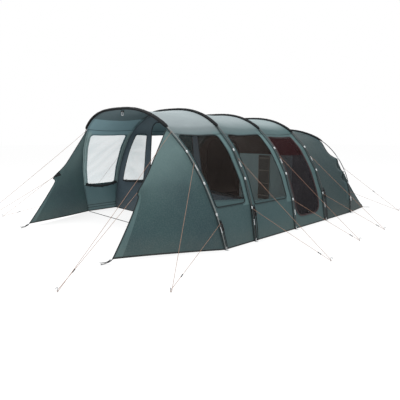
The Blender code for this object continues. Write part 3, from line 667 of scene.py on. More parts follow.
def camera():
    yaw, pitch = -0.805027, 0.16557
    look = Vector((math.sin(yaw) * math.cos(pitch), math.cos(yaw) * math.cos(pitch), -math.sin(pitch)))
    right = Vector((math.cos(yaw), -math.sin(yaw), 0))
    data = bpy.data.cameras.new("camera")
    data.sensor_width = 36.0
    data.lens = 35.01
    thing = bpy.data.objects.new("camera", data)
    bpy.context.collection.objects.link(thing)
    turn = Matrix((right, right.cross(look), -look)).transposed()
    thing.matrix_world = Matrix.Translation((5.5655, -5.5749, 1.6072)) @ turn.to_4x4()
    bpy.context.scene.camera = thing


# Guy lines, pegs and runners


def side_t(z, side):
    return z if side > 0 else SPAN - z


def wing_edge(side):
    shoulder = Vector(on_arch(FRONT, np.array([side_t(shoulder_of(FRONT), side)]),
                              FRONT.inset)[0]) - Vector((0, 0.004, 0))
    return shoulder, Vector((side * WING_CORNER.x, WING_CORNER.y, WING_CORNER.z))


def wing_tab_tip(side):
    shoulder, corner = wing_edge(side)
    middle = shoulder.lerp(corner, 1 - WING_TAB_HEIGHT / shoulder.z)
    x, y = GUYS["wing"][1]
    return middle + (Vector((side * x, y, 0.0)) - middle).normalized() * WING_TAB_REACH


def guy_ends(name, side):
    number, (x, y) = GUYS[name]
    arch = ARCHES[number]
    lean = math.cos(arch.lean)
    beside = Vector((side * 0.013, -0.002, 0.0))
    if name == "wing":
        upper = leg(arch, 1.70 * lean, side) + beside
        tip = wing_tab_tip(side)
        lower = tip + (Vector((side * x, y, 0.0)) - tip).normalized() * 0.008
    else:
        upper, lower = (leg(arch, z * lean, side) + beside for z in GUY_HEIGHTS[name])
    return upper, lower, Vector((side * x, y, EYE_HEIGHT))


def guy_leg(a, b):
    return [a.lerp(b, s) - UP * (4 * s * (1 - s) * GUY_SAG * (b - a).length)
            for s in (k / GUY_STEPS for k in range(GUY_STEPS))]


def guy_route(name, side):
    upper, lower, eye = guy_ends(name, side)
    middle = ((upper - eye).normalized() + (lower - eye).normalized()).normalized()
    across = middle.cross(UP).normalized() * EYE_RADIUS
    turn = [eye + math.cos(a) * across - math.sin(a) * EYE_RADIUS * middle
            for a in (math.pi * k / 8 for k in range(9))]
    return guy_leg(upper, turn[0]) + turn + guy_leg(lower, turn[-1])[::-1]


def along_line(points, distance):
    """The place and direction at a distance along a line."""
    for a, b in zip(points, points[1:]):
        step = (b - a).length
        if distance <= step:
            return a.lerp(b, distance / step), (b - a).normalized()
        distance -= step
    return points[-1], (points[-1] - points[-2]).normalized()


def peg(name, side):
    """A wire peg's hook, with its shaft going into the ground."""
    x, y = GUYS[name][1]
    foot = Vector((side * x, y, 0.0))
    upper, lower, _ = guy_ends(name, side)
    away = foot - (upper + lower) / 2
    away = Vector((away.x, away.y, 0.0)).normalized()
    line = [foot, foot + UP * 0.012, foot + UP * 0.0225, foot + UP * 0.035]
    top = foot + UP * 0.045 + 0.011 * away
    line += [top - math.cos(a) * 0.011 * away + UP * math.sin(a) * 0.011
             for a in (math.pi * k / 10 for k in range(11))]
    line.append(line[-1] - UP * 0.006)
    batch = Batch()
    batch.tube(line, 0.0038, 10, away.cross(UP))
    label = f"{name}_{dict(SIDES)[side]}"
    return batch.build(f"wire_peg_{label}", "steel", nodes=(f"peg_{label}",), slot="peg_steel")


def runner(name, side, part, distance, own_joint):
    """A moulded runner: a flat body with rounded ends and two eyes for the line."""
    route = guy_route(name, side)
    half = route[:GUY_STEPS + 1][::-1] if part == "upper" else route[GUY_STEPS + 8:]
    place, along = along_line(half, distance)
    over = along.cross(UP).normalized()
    batch = Batch()
    body = [place + along * s for s in (-.0225, -.018, -.008, 0, .008, .018, .0225)]
    wide = (0.0062, 0.0088, 0.0072, 0.0066, 0.0072, 0.0088, 0.0062)
    batch.add(*swept(body, lambda i: circle(wide[i], 10, 0.72), over))
    for s in (-.019, .019):
        ring = [place + along * (s + 0.0075 * math.cos(a)) + along.cross(over) * 0.0075 * math.sin(a)
                for a in (math.pi * k / 6 for k in range(12))]
        batch.tube(ring, 0.0018, 6, over, closed=True)
    label = f"{name}_{dict(SIDES)[side]}"
    body_name = f"runner_{label}" if own_joint else "tent"
    nodes = (f"runner_{label}",) if own_joint else ()
    return batch.build(f"line_runner_{label}", "plastic", body_name, nodes, "runner_plastic")


def guys():
    for i, (name, side, part, distance) in enumerate(RUNNERS):
        runner(name, side, part, distance, i < CAD_RUNNERS)
    for name in GUYS:
        for side, word in SIDES:
            route = guy_route(name, side)
            curve = bpy.data.curves.new(f"guy_line_{name}_{word}", "CURVE")
            curve.dimensions = "3D"
            curve.bevel_depth = GUY_RADIUS
            curve.bevel_resolution = 3
            curve.use_fill_caps = True
            spline = curve.splines.new("POLY")
            spline.points.add(len(route) - 1)
            for knot, p in zip(spline.points, route):
                knot.co = (*p, 1.0)
            curve.materials.append(MATERIALS["guy"])
            thing = bpy.data.objects.new(curve.name, curve)
            bpy.context.collection.objects.link(thing)
            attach(thing, "tent")
            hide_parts(f"guy_{name}_{word}")
            peg(name, side)


# Frame


def poles_and_sleeves():
    clips, tabs, ferrules, seams = Batch(), Batch(), Batch(), Batch()
    for arch in ARCHES:
        over = Vector((0, math.cos(arch.lean), math.sin(arch.lean)))
        t = np.concatenate([np.linspace(0.006, EAVE, 60), np.linspace(EAVE, SPAN - EAVE, 90)[1:],
                            np.linspace(SPAN - EAVE, SPAN - 0.006, 60)[1:]])
        line = [Vector(p) for p in on_arch(arch, t)]
        pole = Batch()
        pole.tube(line, 0.008, 12, over)
        pole.build(f"bent_pole_{arch.name}", "pole_pale" if arch is FRONT else "pole",
                   nodes=(f"pole_{arch.name}",), slot="pole")
        top = shoulder_of(arch)
        t = np.linspace(top, SPAN - top, 110)
        line = [Vector(p) for p in on_arch(arch, t)]

        def wrinkled(i):
            pucker = 1 + 0.10 * noise.noise(Vector((i * 0.55, arch.y * 9, 0)))
            end = min(1.0, 0.62 + min(i, len(line) - 1 - i) * 0.2)
            return [(0.0345 * pucker * end * math.cos(a),
                     (0.0205 + 0.004 * noise.noise(Vector((i * 0.8, k * 1.1, arch.y)))) * end * math.sin(a)
                     - 0.001)
                    for k, a in enumerate(2 * math.pi * n / 16 for n in range(16))]

        batch = Batch()
        batch.add(*swept(line, wrinkled, over))
        batch.build(f"cloth_sleeve_{arch.name}", "sleeve", nodes=(f"sleeve_{arch.name}",),
                    slot="webbing_black")
        heights = CLIP_HEIGHTS if arch is not REAR else REAR_CLIP_HEIGHTS
        for side, _ in SIDES:
            for z in heights:
                here = leg(arch, z, side)
                along = (leg(arch, z + 0.03, side) - leg(arch, z - 0.03, side)).normalized()
                out = Vector(out_of(arch, np.array([side_t(z, side)]))[0])
                spine = [here + along * s for s in (-.022, -.018, 0, .018, .022)]
                size = (0.6, 1, 1, 1, 0.6)
                clips.add(*swept(spine, lambda i: [
                    (0.0125 * size[i] * math.cos(a), 0.0120 * size[i] * math.sin(a))
                    for a in (2 * math.pi * n / 12 for n in range(12))], over))
                inset = float(edge_inset(arch, np.array([side_t(z, side)]))[0])
                tabs.tape([here - out * 0.012, here - out * (inset + 0.004)], 0.024, 0.003, over)
            for z in (0.30, 1.16):
                here = leg(arch, z, side)
                along = (leg(arch, z + 0.03, side) - leg(arch, z - 0.03, side)).normalized()
                ferrules.tube([here - along * 0.045, here + along * 0.045], 0.0096, 12, over)
            foot = leg(arch, 0.0, side)
            tabs.tape([foot + Vector((side * -0.045, 0, 0.006)), foot + Vector((side * 0.02, 0, 0.004))],
                      0.025, 0.003, BACK)
            clips.tube([foot + Vector((side * 0.012, 0, z)) for z in (0.001, 0.03, 0.055)], 0.005, 8)
            clips.frame(foot + Vector((side * 0.030, 0, 0.006)), Vector((1, 0, 0)), BACK, 0.016, 0.014,
                        0.0025)
            # Seam tapes down the legs, drawn wider so that their dark strip also paints in the pole's
            # shadow beside it.
            seam_t = np.linspace(0.004, shoulder_of(arch), 60)
            seam_t = seam_t if side > 0 else SPAN - seam_t
            seam = [Vector(p) for p in on_arch(arch, seam_t, edge_inset(arch, seam_t) - 0.002)]
            seams.tape(seam, 0.009 if arch is FRONT else 0.016, 0.005, over)
    clips.build("pole_clips", "clip", slot="runner_plastic")
    tabs.build("clip_tabs", "webbing", slot="webbing_black")
    seams.build("leg_seam_tapes_and_pole_shadow", "piping", slot="webbing_black")
    ferrules.build("pole_ferrules", "ferrule", slot="pole")


def leg_straps():
    """Adjuster straps with buckles on the legs, and the straps at the wing corners."""
    webs, buckles, hooks = Batch(), Batch(), Batch()
    for side, _ in SIDES:
        for arch, top, size in ((FRONT, 0.44, 0.6), (SECOND, 0.56, 1.0), (FOURTH, 0.62, 1.0)):
            strands = [[leg(arch, z, side) + Vector((side * 0.012, y * size, 0))
                        for z in np.linspace(0.012, top, 13)] for y in (0.008, 0.046)]
            for strand in strands:
                webs.tape(strand, 0.018 * size, 0.0025, BACK)
            line = [a.lerp(b, 0.5) for a, b in zip(*strands)]
            mid = line[10]
            out = Vector((side, 0, 0.12)).normalized()
            along = (line[11] - line[9]).normalized()
            webs.tape([mid - along * 0.075 + out * 0.002, mid + out * 0.004,
                       mid + along * 0.06 + out * 0.002], 0.056 * size, 0.004, BACK)
            for s in (0.0, -0.055):
                here = mid + out * 0.008 + along * s
                buckles.frame(here, BACK, along, 0.028 * size, 0.022, 0.0050)
                buckles.tube([here - BACK * 0.022 * size, here + BACK * 0.022 * size], 0.004, 8, along)
            webs.tape([mid + out * 0.008, mid + out * 0.016 - along * 0.05,
                       mid + out * 0.010 - along * 0.13], 0.024 * size, 0.0025, BACK)
        corner = Vector((side * WING_CORNER.x, WING_CORNER.y, WING_CORNER.z))
        away = Vector((-side * 0.22, -1.0, 0)).normalized()
        pin = corner + away * 0.15
        pin.z = 0.012
        start_at = corner - away * 0.01 + UP * 0.004
        path = [start_at.lerp(pin, s) - UP * (0.014 * math.sin(math.pi * s)) for s in
                (k / 10 for k in range(11))]
        path = [Vector((p.x, p.y, max(p.z, 0.006))) for p in path]
        flat = away.cross(UP).normalized()
        webs.tape(path, 0.025, 0.003, flat)
        webs.tape([path[3] + UP * .004, path[6] + UP * .006 + flat * .02, path[9] + flat * .05 + UP * .002],
                  0.02, 0.0025, flat)
        buckles.frame(path[3] + UP * 0.004, flat, (path[4] - path[2]).normalized(), 0.021, 0.024, 0.0045)
        hooks.tube([pin + UP * h for h in (-0.011, 0.004, 0.02)]
                   + [pin + UP * (0.02 + 0.010 * math.sin(a)) + away * 0.010 * (1 - math.cos(a))
                      for a in (math.pi * k / 8 for k in range(1, 9))], 0.0036, 8, flat)
        hooks.frame(corner + away * 0.022 + UP * 0.002, flat, away, 0.016, 0.012, 0.003)
    webs.build("leg_straps", "webbing", slot="webbing_black")
    buckles.build("strap_buckles", "plastic", slot="runner_plastic")
    hooks.build("corner_hooks", "clip", slot="peg_steel")
    cross = Batch()
    reach = 1.925
    line = [Vector((-reach + 2 * reach * k / 40, FRONT.y, 0.0035)) for k in range(41)]
    cross.tape(line, 0.025, 0.003, BACK)
    cross.build("porch_cross_strap", "webbing", nodes=("porch_strap",), slot="webbing_black")


# Flysheet


def fly():
    bays = (("fly_porch", FRONT, SECOND, 0.68, "fly_front", (PORCH_WINDOW,) * 2),
            ("fly_living_front", SECOND, THIRD, 1.119, "fly_living", (LIVING_WINDOW,) * 2),
            ("fly_living_rear", THIRD, FOURTH, 1.027, "fly_door", (SIDE_DOOR, None)),
            ("fly_bedroom", FOURTH, REAR, 1.085, "fly_rear", (None, None)))
    trims = Batch()
    reds = Batch()
    for name, front, back, width, material, windows in bays:
        place = bay_place(front, back, width)
        outline = [(0, 0), (width, 0), (width, SPAN), (0, SPAN)]
        holes = []
        for (side, word), window in zip(SIDES, windows):
            if not window:
                continue
            low = 0.22 if window is SIDE_DOOR else 0.05
            hole = opening(width, window, side, low_radius=low)
            holes.append(hole)
            rim = on_surface(bay_place(front, back, width, -0.002), hole)
            if window is SIDE_DOOR:
                reds.tube(rim, 0.0075, 8, BACK.lerp(UP, 0.3), closed=True)
            else:
                trims.tube(rim, 0.0055, 8, BACK.lerp(UP, 0.3), closed=True)
        flat = patch(outline, holes)
        thing = cloth_piece(name + "_cloth", *flat, place, bay_metres(width), material, nodes=(name,))
        if front in (FRONT, SECOND):
            inner = cloth_piece(name + "_lining", *flat, bay_place(front, back, width, 0.006),
                                bay_metres(width), "lining")
        for (side, word), window in zip(SIDES, windows):
            if not window or (window is LIVING_WINDOW and side < 0):
                continue
            low = 0.22 if window is SIDE_DOOR else 0.05
            if window is SIDE_DOOR:
                door(front, back, width, window, side)
                continue
            pane = opening(width, window, side, grow=0.008, low_radius=low)
            label = ("window_porch_" if front is FRONT else "window_living_") + word
            sheet = cloth_piece(label + "_film", *patch(pane), bay_place(front, back, width, 0.004),
                                bay_metres(width), "film_near" if side > 0 else "film_far",
                                nodes=(label,), slot="clear_film")
            if side > 0:
                sill(front, back, width, pane, name, SILLS[window])
    trims.build("window_piping", "piping", slot="webbing_black")
    blinds = Batch()
    for front, back, width, window, sides in ((FRONT, SECOND, 0.68, PORCH_WINDOW, (1, -1)),):
        for side in sides:
            place = bay_place(front, back, width, 0.03)
            flat = [((window[0] - 0.06 + (window[1] - window[0] + 0.12) * k / 16) * width,
                     side_t(window[2] + 0.005 - 0.05 * math.sin(math.pi * k / 16), side))
                    for k in range(17)]
            line = [Vector(p) for p in place(np.array(flat))]
            blinds.add(*swept(line, lambda i: [
                ((0.026 + 0.004 * math.sin(i * 1.9 + k)) * math.cos(a), 0.016 * math.sin(a))
                for k, a in enumerate(2 * math.pi * n / 12 for n in range(12))], UP))
            for k in (2, 8, 14):
                blinds.frame(line[k], UP, Vector((side, 0, 0)), 0.032, 0.022, 0.004)
    blinds.build("rolled_window_blinds", "blind", slot="webbing_black")
    reds.build("door_zip_tape", "zip_red", slot="webbing_black")


def sill(front, back, width, pane, bay, rises):
    """The cloth strip along the bottom of a near window, with its sagging top edge."""
    low = pane.min(0)
    reach = np.ptp(pane[:, 0])
    share = (pane[:, 0] - low[0]) / reach
    brim = low[1] + rises[0] * (1 - share) + rises[1] * share - 0.012 * np.sin(math.pi * share)
    line = np.stack([pane[:, 0], np.minimum(pane[:, 1], brim)], -1)
    keep = np.linalg.norm(line - np.roll(line, 1, 0), axis=1) > 0.002
    thing = cloth_piece(bay.replace("fly", "window_sill"), *patch(line[keep]),
                        bay_place(front, back, width, 0.001), bay_metres(width), "sill")


def door(front, back, width, window, side):
    """The mesh door with its zip tape, and the slider on its lower edge."""
    panel = opening(width, window, side, grow=-0.004, low_radius=0.22)
    place = bay_place(front, back, width, 0.001)
    thing = cloth_piece("side_door_mesh", *patch(panel), place, bay_metres(width), "mesh",
                        "side_door", ("side_door",), "mesh")
    rim = on_surface(bay_place(front, back, width, -0.001),
                     opening(width, window, side, grow=-0.016, low_radius=0.21))
    tape = Batch()
    tape.tube(rim, 0.0045, 8, BACK.lerp(UP, 0.3), closed=True)
    tape.build("side_door_zip_edge", "zip_red", "side_door", slot="webbing_black")
    low, high = (Vector(c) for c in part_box("side_door_slider"))
    centre = (low + high) / 2
    batch = Batch()
    half = (high - low) / 2
    spine = [centre + BACK * half.y * s for s in (-1, -.8, -.3, .3, .8, 1)]
    size = (0.55, 0.85, 1, 1, 0.85, 0.55)
    batch.add(*swept(spine, lambda i: circle(half.z * size[i], 12, half.x / half.z), UP))
    batch.frame(centre + Vector((half.x + 0.002, 0, -0.014)), BACK, UP, 0.006, 0.015, 0.0018)
    batch.build("side_door_zip_slider", "plastic", "side_door_slider", ("side_door_slider",),
                "runner_plastic")


def rear():
    """The slope from the rear arch to the straight rear hem."""
    reach = 0.86

    def place(flat):
        u, t = np.clip(flat[:, 0] / reach, 0, 1), flat[:, 1]
        a = on_arch(REAR, t, edge_inset(REAR, t, u * 0.25))
        bottom = np.stack([np.clip(a[:, 0] * 1.25, -REAR_HEM_HALF, REAR_HEM_HALF),
                           np.full(len(t), REAR_HEM_Y), np.zeros(len(t))], -1)
        p = a * (1 - u)[:, None] + bottom * u[:, None]
        m = np.minimum(t, SPAN - t)
        slack = 4 * u * (1 - u) * np.clip(m / 0.8, 0, 1)
        dip = 0.05 * slack + slack * ripple(p, 0.014, 1.9, 4)
        p[:, 1] -= dip * 0.7
        p[:, 2] -= dip * 0.7
        p[:, 2] = np.maximum(p[:, 2], 0.001)
        return p

    def metres(flat):
        p = place(flat)
        return np.stack([flat[:, 0] * 0 + 1.0, p[:, 2]], -1)

    outline = [(0, 0), (reach, 0), (reach, SPAN), (0, SPAN)]
    flat, faces, edge = patch(outline)
    points = place(flat)
    a, b, c = (points[faces[:, k]] for k in range(3))
    keep = np.linalg.norm(np.cross(b - a, c - a), axis=1) > 2e-6
    thing = cloth_piece("fly_rear_wall_cloth", flat, faces[keep], edge, place, metres, "fly_rear",
                        nodes=("fly_rear_wall",))
    trims = Batch()
    for side, _ in SIDES:
        corner = Vector((side * REAR_HEM_HALF, REAR_HEM_Y, 0.004))
        trims.tape([corner, corner + Vector((side * 0.06, 0.03, 0.0)),
                    corner + Vector((side * 0.12, 0.06, 0.002))], 0.022, 0.003, UP.cross(
                        Vector((side, 0.5, 0))).normalized())
    trims.build("rear_corner_straps", "webbing", slot="webbing_black")
    seams = Batch()
    for t in (SPAN / 2 - 0.78, SPAN / 2 + 0.78):
        line = place(np.array([(u * reach, t) for u in np.linspace(0.02, 0.985, 40)]))
        seams.tape([Vector(p) + Vector((0, 0.0025, 0.001)) for p in line], 0.011, 0.0025, Vector((1, 0, 0)))
    line = place(np.array([(0.94 * reach, t) for t in np.linspace(0.75, SPAN - 0.75, 60)]))
    seams.tape([Vector(p) + Vector((0, 0.0025, 0.001)) for p in line], 0.009, 0.0025, UP)
    seams.build("rear_wall_seams", "piping", slot="webbing_black")


def wings():
    """The porch wings: cloth from the front leg to the forward corner, drawn out at a tab."""
    for side, word in SIDES:
        shoulder, corner = wing_edge(side)
        tip = wing_tab_tip(side)
        top = shoulder.z
        tab_share = 0.12

        def leading(z):
            """The front edge at a height: it curves in between its three held points."""
            line = shoulder.lerp(corner, 1 - z / top)
            if z > WING_TAB_HEIGHT:
                s = (z - WING_TAB_HEIGHT) / (top - WING_TAB_HEIGHT)
            else:
                s = 1 - z / WING_TAB_HEIGHT
            back_leg = leg(FRONT, max(0.0, min(z, EAVE)), side)
            inward = (back_leg - line)
            inward.z = 0
            depth = (0.0 if z > WING_TAB_HEIGHT else 0.02) * math.sin(math.pi * s)
            if inward.length > 0.001:
                line = line + inward.normalized() * min(depth, inward.length * 0.3)
            return line

        middle = leading(WING_TAB_HEIGHT)

        def pulled(z):
            return (tip - middle) * math.exp(-((z - WING_TAB_HEIGHT) / tab_share) ** 2) ** 1.5

        def place(flat):
            made = []
            for a, z in flat:
                a = min(max(a, 0.0), 1.0)
                back = Vector(on_arch(FRONT, np.array([side_t(min(z, shoulder_of(FRONT)), side)]),
                                      edge_inset(FRONT, np.array([side_t(z, side)])))[0])
                front = leading(z)
                p = back.lerp(front, a) + pulled(z) * max(0.0, (a - 0.8) / 0.2) ** 2
                share = 1 - z / top
                bow = side * 0.03 * 4 * a * (1 - a) * share
                wave = 0.010 * noise.noise(Vector((p.y * 1.6, p.z * 1.2, side * 3.0))) * 4 * a * (1 - a)
                p -= Vector((bow + side * wave, 0, 0))
                p.z = max(p.z, 0.002)
                made.append(p)
            return np.array(made)

        def metres(flat):
            wide = np.array([(leading(z) - leg(FRONT, max(0.0, min(z, EAVE)), side)).length
                             for z in flat[:, 1]])
            return np.stack([(1 - flat[:, 0]) * wide, flat[:, 1]], -1)

        stretch = 1.45
        outline = np.array([(0, 0), (stretch, 0), (stretch, WING_TAB_HEIGHT - .12),
                            (stretch, WING_TAB_HEIGHT), (stretch, WING_TAB_HEIGHT + .12),
                            (stretch, top - 0.005), (0, top - 0.005)])
        flat, faces, edge = patch(outline, step=0.05)
        flat = flat / (stretch, 1.0)
        points = place(flat)
        a, b, c = (points[faces[:, k]] for k in range(3))
        keep = np.linalg.norm(np.cross(b - a, c - a), axis=1) > 1e-6
        thing = cloth_piece(f"wing_{word}_cloth", flat, faces[keep], edge, place, metres, "wing",
                            nodes=(f"wing_{word}",))
        batch = Batch()
        rim = [leading(top * k / 90) + pulled(top * k / 90) for k in range(90)]
        batch.tube(rim, 0.006, 8, Vector((1, 0, 0)))
        patch_line = [middle.lerp(tip, s) + Vector((side * 0.004, 0, 0)) for s in (0.05, 0.5, 0.97)]
        batch.add(*swept(patch_line, lambda i: strip((0.085, 0.055, 0.02)[i], 0.004), UP))
        batch.build(f"wing_{word}_edge_tape", "piping", slot="webbing_black")


def cross_wall():
    """The wall in the second arch, with its doorway and two windows."""
    t = np.concatenate([np.linspace(0.002, EAVE, 40), np.linspace(EAVE, SPAN - EAVE, 60)[1:],
                        np.linspace(SPAN - EAVE, SPAN - 0.002, 40)[1:]])
    rim = on_arch(SECOND, t, 0.045)[:, [0, 2]]
    foot_half, top_half, sill, top = 0.72, 0.55, 0.06, 1.84
    doorway = rounded([(foot_half, sill), (top_half, top), (-top_half, top), (-foot_half, sill)],
                      (0.06, 0.20, 0.20, 0.06))
    doorway = np.array([tuple(p) for p in doorway])
    panes = {}
    for side, word in SIDES:
        margin = 0.12 if side > 0 else 0.26
        corners = [(leg(SECOND, z, 1).x - margin, z) for z in np.linspace(0.645, 1.62, 9)]
        corners += [(0.72, 1.62), (0.875, 0.71)]
        radii = [0.05] + [0.001] * 7 + [0.05] * 3
        panes[word] = np.array([(side * p.x, p.y) for p in rounded(corners, radii)])

    def place(flat):
        p = np.stack([flat[:, 0], np.full(len(flat), SECOND.y), flat[:, 1]], -1)
        p[:, 1] += ripple(p, 0.006, 2.5, 6)
        return p

    def metres(flat):
        return np.stack([flat[:, 0] * 0 + 1, flat[:, 1]], -1)

    thing = cloth_piece("cross_wall_cloth", *patch(rim, [doorway, *panes.values()]), place, metres,
                        "wall", nodes=("cross_wall",))
    trims, blinds = Batch(), Batch()
    trims.tube(on_surface(place, doorway), 0.007, 8, BACK.lerp(UP, 0.01), closed=True)
    for side, word in SIDES:
        trims.tube(on_surface(place, panes[word]), 0.0055, 8, BACK.lerp(UP, 0.01), closed=True)
        label = f"window_cross_{word}"
        middle = panes[word].mean(0)
        pane = middle + (panes[word] - middle) * 1.02
        sheet = cloth_piece(label + "_film", *patch(pane), place, metres,
                            "film_cross" if side < 0 else "film_near", nodes=(label,), slot="clear_film")
        low = sorted(panes[word][:, 0], key=abs)
        line = [Vector((low[0] + (low[-1] - low[0]) * k, SECOND.y - 0.024,
                        0.692 - 0.045 * k - 0.012 * math.sin(math.pi * k)))
                for k in np.linspace(0.02, 0.96, 15)]
        blinds.add(*swept(line, lambda i: circle(0.017 + 0.002 * math.sin(i * 2.1), 12, 0.8), UP))
        for k in (2, 12):
            blinds.frame(line[k] - BACK * 0.004, UP, BACK, 0.024, 0.020, 0.0035)
    trims.build("cross_wall_piping", "piping", slot="webbing_black")
    blinds.build("rolled_cross_window_blinds", "blind", slot="webbing_black")


def floors():
    front, back = SECOND.y + 0.020, BEDROOM_FRONT_Y - 0.002
    half = 2.0 - 0.030 - 0.022

    def place(flat):
        p = np.stack([flat[:, 0], flat[:, 1], np.full(len(flat), 0.002)], -1)
        rim = np.minimum(half - np.abs(p[:, 0]), np.minimum(p[:, 1] - front, back - p[:, 1]))
        p[:, 2] += np.clip(rim / 0.1, 0, 1) * np.abs(ripple(p, 0.006, 3.0, 8))
        p[:, 2] += np.where(rim < 0.03, (0.03 - rim) * 1.2, 0)
        return p

    outline = [(-half, front), (half, front), (half, back), (-half, back)]
    thing = cloth_piece("groundsheet_cloth", *patch(outline, step=0.09), place,
                        lambda flat: flat * 0 + 1.0, "ground", nodes=("groundsheet",),
                        slot="groundsheet")


def bedroom_cloth():
    """The inner tent's front wall by place: brown mesh, red top corners and a grey-green panel."""
    material = cloth("inner_tent_front", (0.068, 0.047, 0.036), translucent=0.0, stitches=True,
                     wrinkle=0.8)
    tree = material.node_tree
    shader = tree.nodes["Principled BSDF"]
    tone = shader.inputs["Base Color"].links[0].from_socket
    where = put(tree, "TexCoord", out=3)
    split = tree.nodes.new("ShaderNodeSeparateXYZ")
    tree.links.new(where, split.inputs[0])
    wide, tall = split.outputs[0], split.outputs[2]
    red = math_node(tree, "MULTIPLY", ramp(tree, wide, 0.71, 0.73), ramp(tree, tall, 1.20, 1.22))
    green = math_node(tree, "MULTIPLY", ramp(tree, wide, -0.10, -0.08),
                      ramp(tree, tall, 1.20, 1.22, 1, 0))
    green = math_node(tree, "MULTIPLY", green, ramp(tree, wide, 1.26, 1.28, 1, 0))
    tone = mixed(tree, red, tone, (0.085, 0.010, 0.011))
    tone = mixed(tree, green, tone, (0.40, 0.54, 0.55))
    tree.links.new(tone, shader.inputs["Base Color"])
    return material


def bedroom():
    t = np.concatenate([np.linspace(0.0, EAVE, 18), np.linspace(EAVE, SPAN - EAVE, 30)[1:],
                        np.linspace(SPAN - EAVE, SPAN, 18)[1:]])
    grid = []
    ys = np.linspace(BEDROOM_FRONT_Y, REAR.y - 0.06, 16)
    for y in ys:
        share = (y - FOURTH.y) / (REAR.y - 0.06 - FOURTH.y)
        share = min(max(share, 0.0), 1.0)
        a, b = on_arch(FOURTH, t, BEDROOM_INSET), on_arch(REAR, t, BEDROOM_INSET)
        p = a * (1 - share) + b * share
        p[:, 1] = y
        hang = 0.018 * np.abs(np.sin(math.pi * (y - BEDROOM_FRONT_Y) / 0.38))
        p[:, 2] -= hang * np.clip((p[:, 2] - 1.2) / 0.3, 0, 1)
        grid.append(p)
    last = grid[-1].copy()
    reach = REAR_HEM_HALF - BEDROOM_INSET
    hem = np.stack([np.clip(last[:, 0] * 1.25, -reach, reach), np.full(len(t), BEDROOM_REAR_Y),
                    np.zeros(len(t))], -1)
    for s in np.linspace(0, 1, 9)[1:]:
        p = last * (1 - s) + hem * s
        p[:, 2] -= 0.03 * math.sin(math.pi * s) * np.clip(p[:, 2], 0, 1)
        grid.append(p)
    wide = len(t)
    points = [tuple(q[:2]) + (max(q[2], 0.004),) for p in grid for q in p]
    faces = [(i * wide + k, i * wide + k + 1, (i + 1) * wide + k + 1, (i + 1) * wide + k)
             for i in range(len(grid) - 1) for k in range(wide - 1)]
    mesh = mesh_of("inner_tent_cloth", points, faces, 80)
    mesh.uv_layers.new(name="metres")
    shell = link("inner_tent_cloth", mesh, "inner", nodes=("bedroom",))
    edge = grid[0][:, [0, 2]]
    keep = np.concatenate([[True], np.linalg.norm(np.diff(edge, axis=0), axis=1) > 1e-4])
    left, right, low, high = BEDROOM_DOOR
    hole = np.array([tuple(p) for p in rounded([(right, low), (right, high), (left, high), (left, low)],
                                                (0.08, 0.3, 0.3, 0.08))])

    def place(flat):
        p = np.stack([flat[:, 0], np.full(len(flat), BEDROOM_FRONT_Y), flat[:, 1]], -1)
        p[:, 1] += np.abs(ripple(p, 0.010, 2.0, 9))
        return p

    front = cloth_piece("inner_tent_front_cloth", *patch(edge[keep], [hole]), place,
                        lambda flat: np.stack([flat[:, 0] * 0 + 1, flat[:, 1]], -1), None,
                        slot="inner_tent")
    front.data.materials.append(bedroom_cloth())
    trims = Batch()
    trims.tube(on_surface(place, hole), 0.008, 8, BACK.lerp(UP, 0.01), closed=True)
    trims.build("inner_tent_zip", "zip_red", slot="webbing_black")
    ladder = Batch()
    for x in (0.45, 0.72):
        ladder.tape([Vector((x, BEDROOM_FRONT_Y - 0.012, z)) for z in np.linspace(0.26, 1.19, 12)],
                    0.012, 0.002, Vector((1, 0, 0)))
    for z in (0.34, 0.60, 0.87, 1.13):
        ladder.tape([Vector((x, BEDROOM_FRONT_Y - 0.016, z)) for x in np.linspace(0.44, 0.73, 6)],
                    0.022, 0.003, UP)
    ladder.build("pocket_ladder", "pocket", slot="webbing_black")
    pocket = Batch()
    pocket.tape([Vector((x, BEDROOM_FRONT_Y - 0.006, 0.725)) for x in np.linspace(0.44, 0.73, 6)],
                0.93, 0.004, UP)
    pocket.build("pocket_panel", "pocket_brown", slot="inner_tent")

    def floor(flat):
        p = np.stack([flat[:, 0], flat[:, 1], np.full(len(flat), 0.003)], -1)
        p[:, 2] += np.abs(ripple(p, 0.006, 3.0, 11))
        return p

    feet = [q[0][:2] for q in grid] + [q[-1][:2] for q in grid[::-1]]
    feet = np.array([(1.004 * x, y + (0.004 if y > BEDROOM_REAR_Y - 0.01 else 0)) for x, y in feet])
    base = cloth_piece("inner_tent_floor", *patch(feet, step=0.12), floor,
                       lambda flat: flat * 0 + 1.0, "ground", slot="groundsheet")


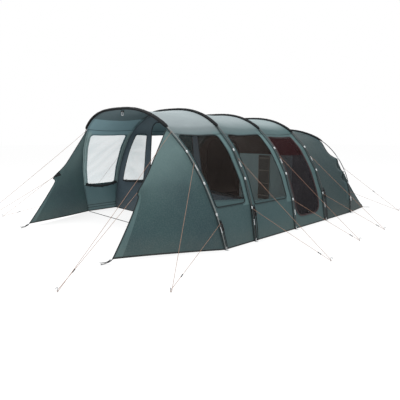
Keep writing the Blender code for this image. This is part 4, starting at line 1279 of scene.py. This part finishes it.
def porch_details():
    """The lamp hook under the front of the roof and the tape that holds it."""
    hooks, tapes = Batch(), Batch()
    top = Vector(on_arch(FRONT, np.array([SPAN / 2]), 0.03)[0])
    hooks.frame(top + Vector((-0.02, 0.10, -0.045)), Vector((1, 0, 0)), UP, 0.024, 0.026, 0.0065)
    tapes.tape([top + Vector((-0.02, 0.10, 0.004)), top + Vector((-0.02, 0.10, -0.030))], 0.09, 0.003,
               Vector((1, 0, 0)))
    hooks.build("lamp_hook", "clip", slot="runner_plastic")
    tapes.build("lamp_hook_tape", "webbing", slot="webbing_black")


# Stage


def stage():
    mesh = bpy.data.meshes.new("floor")
    size = 60.0
    mesh.from_pydata([(-size, -size, -0.001), (size, -size, -0.001), (size, size, -0.001),
                      (-size, size, -0.001)], [], [(0, 1, 2, 3)])
    floor = bpy.data.objects.new("studio_floor", mesh)
    bpy.context.collection.objects.link(floor)
    material, _, shader = start("studio_floor")
    shader.inputs["Base Color"].default_value = (0.19, 0.19, 0.19, 1)
    shader.inputs["Roughness"].default_value = 0.9
    shader.inputs["Specular IOR Level"].default_value = 0.0
    shader.inputs["Emission Color"].default_value = (1, 1, 1, 1)
    shader.inputs["Emission Strength"].default_value = 0.80
    mesh.materials.append(material)
    world = bpy.data.worlds.new("studio")
    bpy.context.scene.world = world
    world.use_nodes = True
    sky = world.node_tree.nodes["Background"]
    sky.inputs["Color"].default_value = (1.0, 1.0, 1.0, 1)
    sky.inputs["Strength"].default_value = 1.0

    def softbox(name, place, target, size_m, power):
        data = bpy.data.lights.new(name, "AREA")
        data.shape = "RECTANGLE"
        data.size, data.size_y = size_m
        data.energy = power
        lamp = bpy.data.objects.new(name, data)
        bpy.context.collection.objects.link(lamp)
        lamp.location = place
        lamp.rotation_euler = (Vector(target) - Vector(place)).to_track_quat("-Z", "Y").to_euler()

    softbox("key", (-1.5, -2.0, 8.0), (0, 0, 1.0), (7.0, 7.0), 900)
    bpy.context.scene.view_settings.view_transform = "Standard"


camera()
guys()
poles_and_sleeves()
leg_straps()
fly()
rear()
wings()
cross_wall()
floors()
bedroom()
porch_details()
stage()
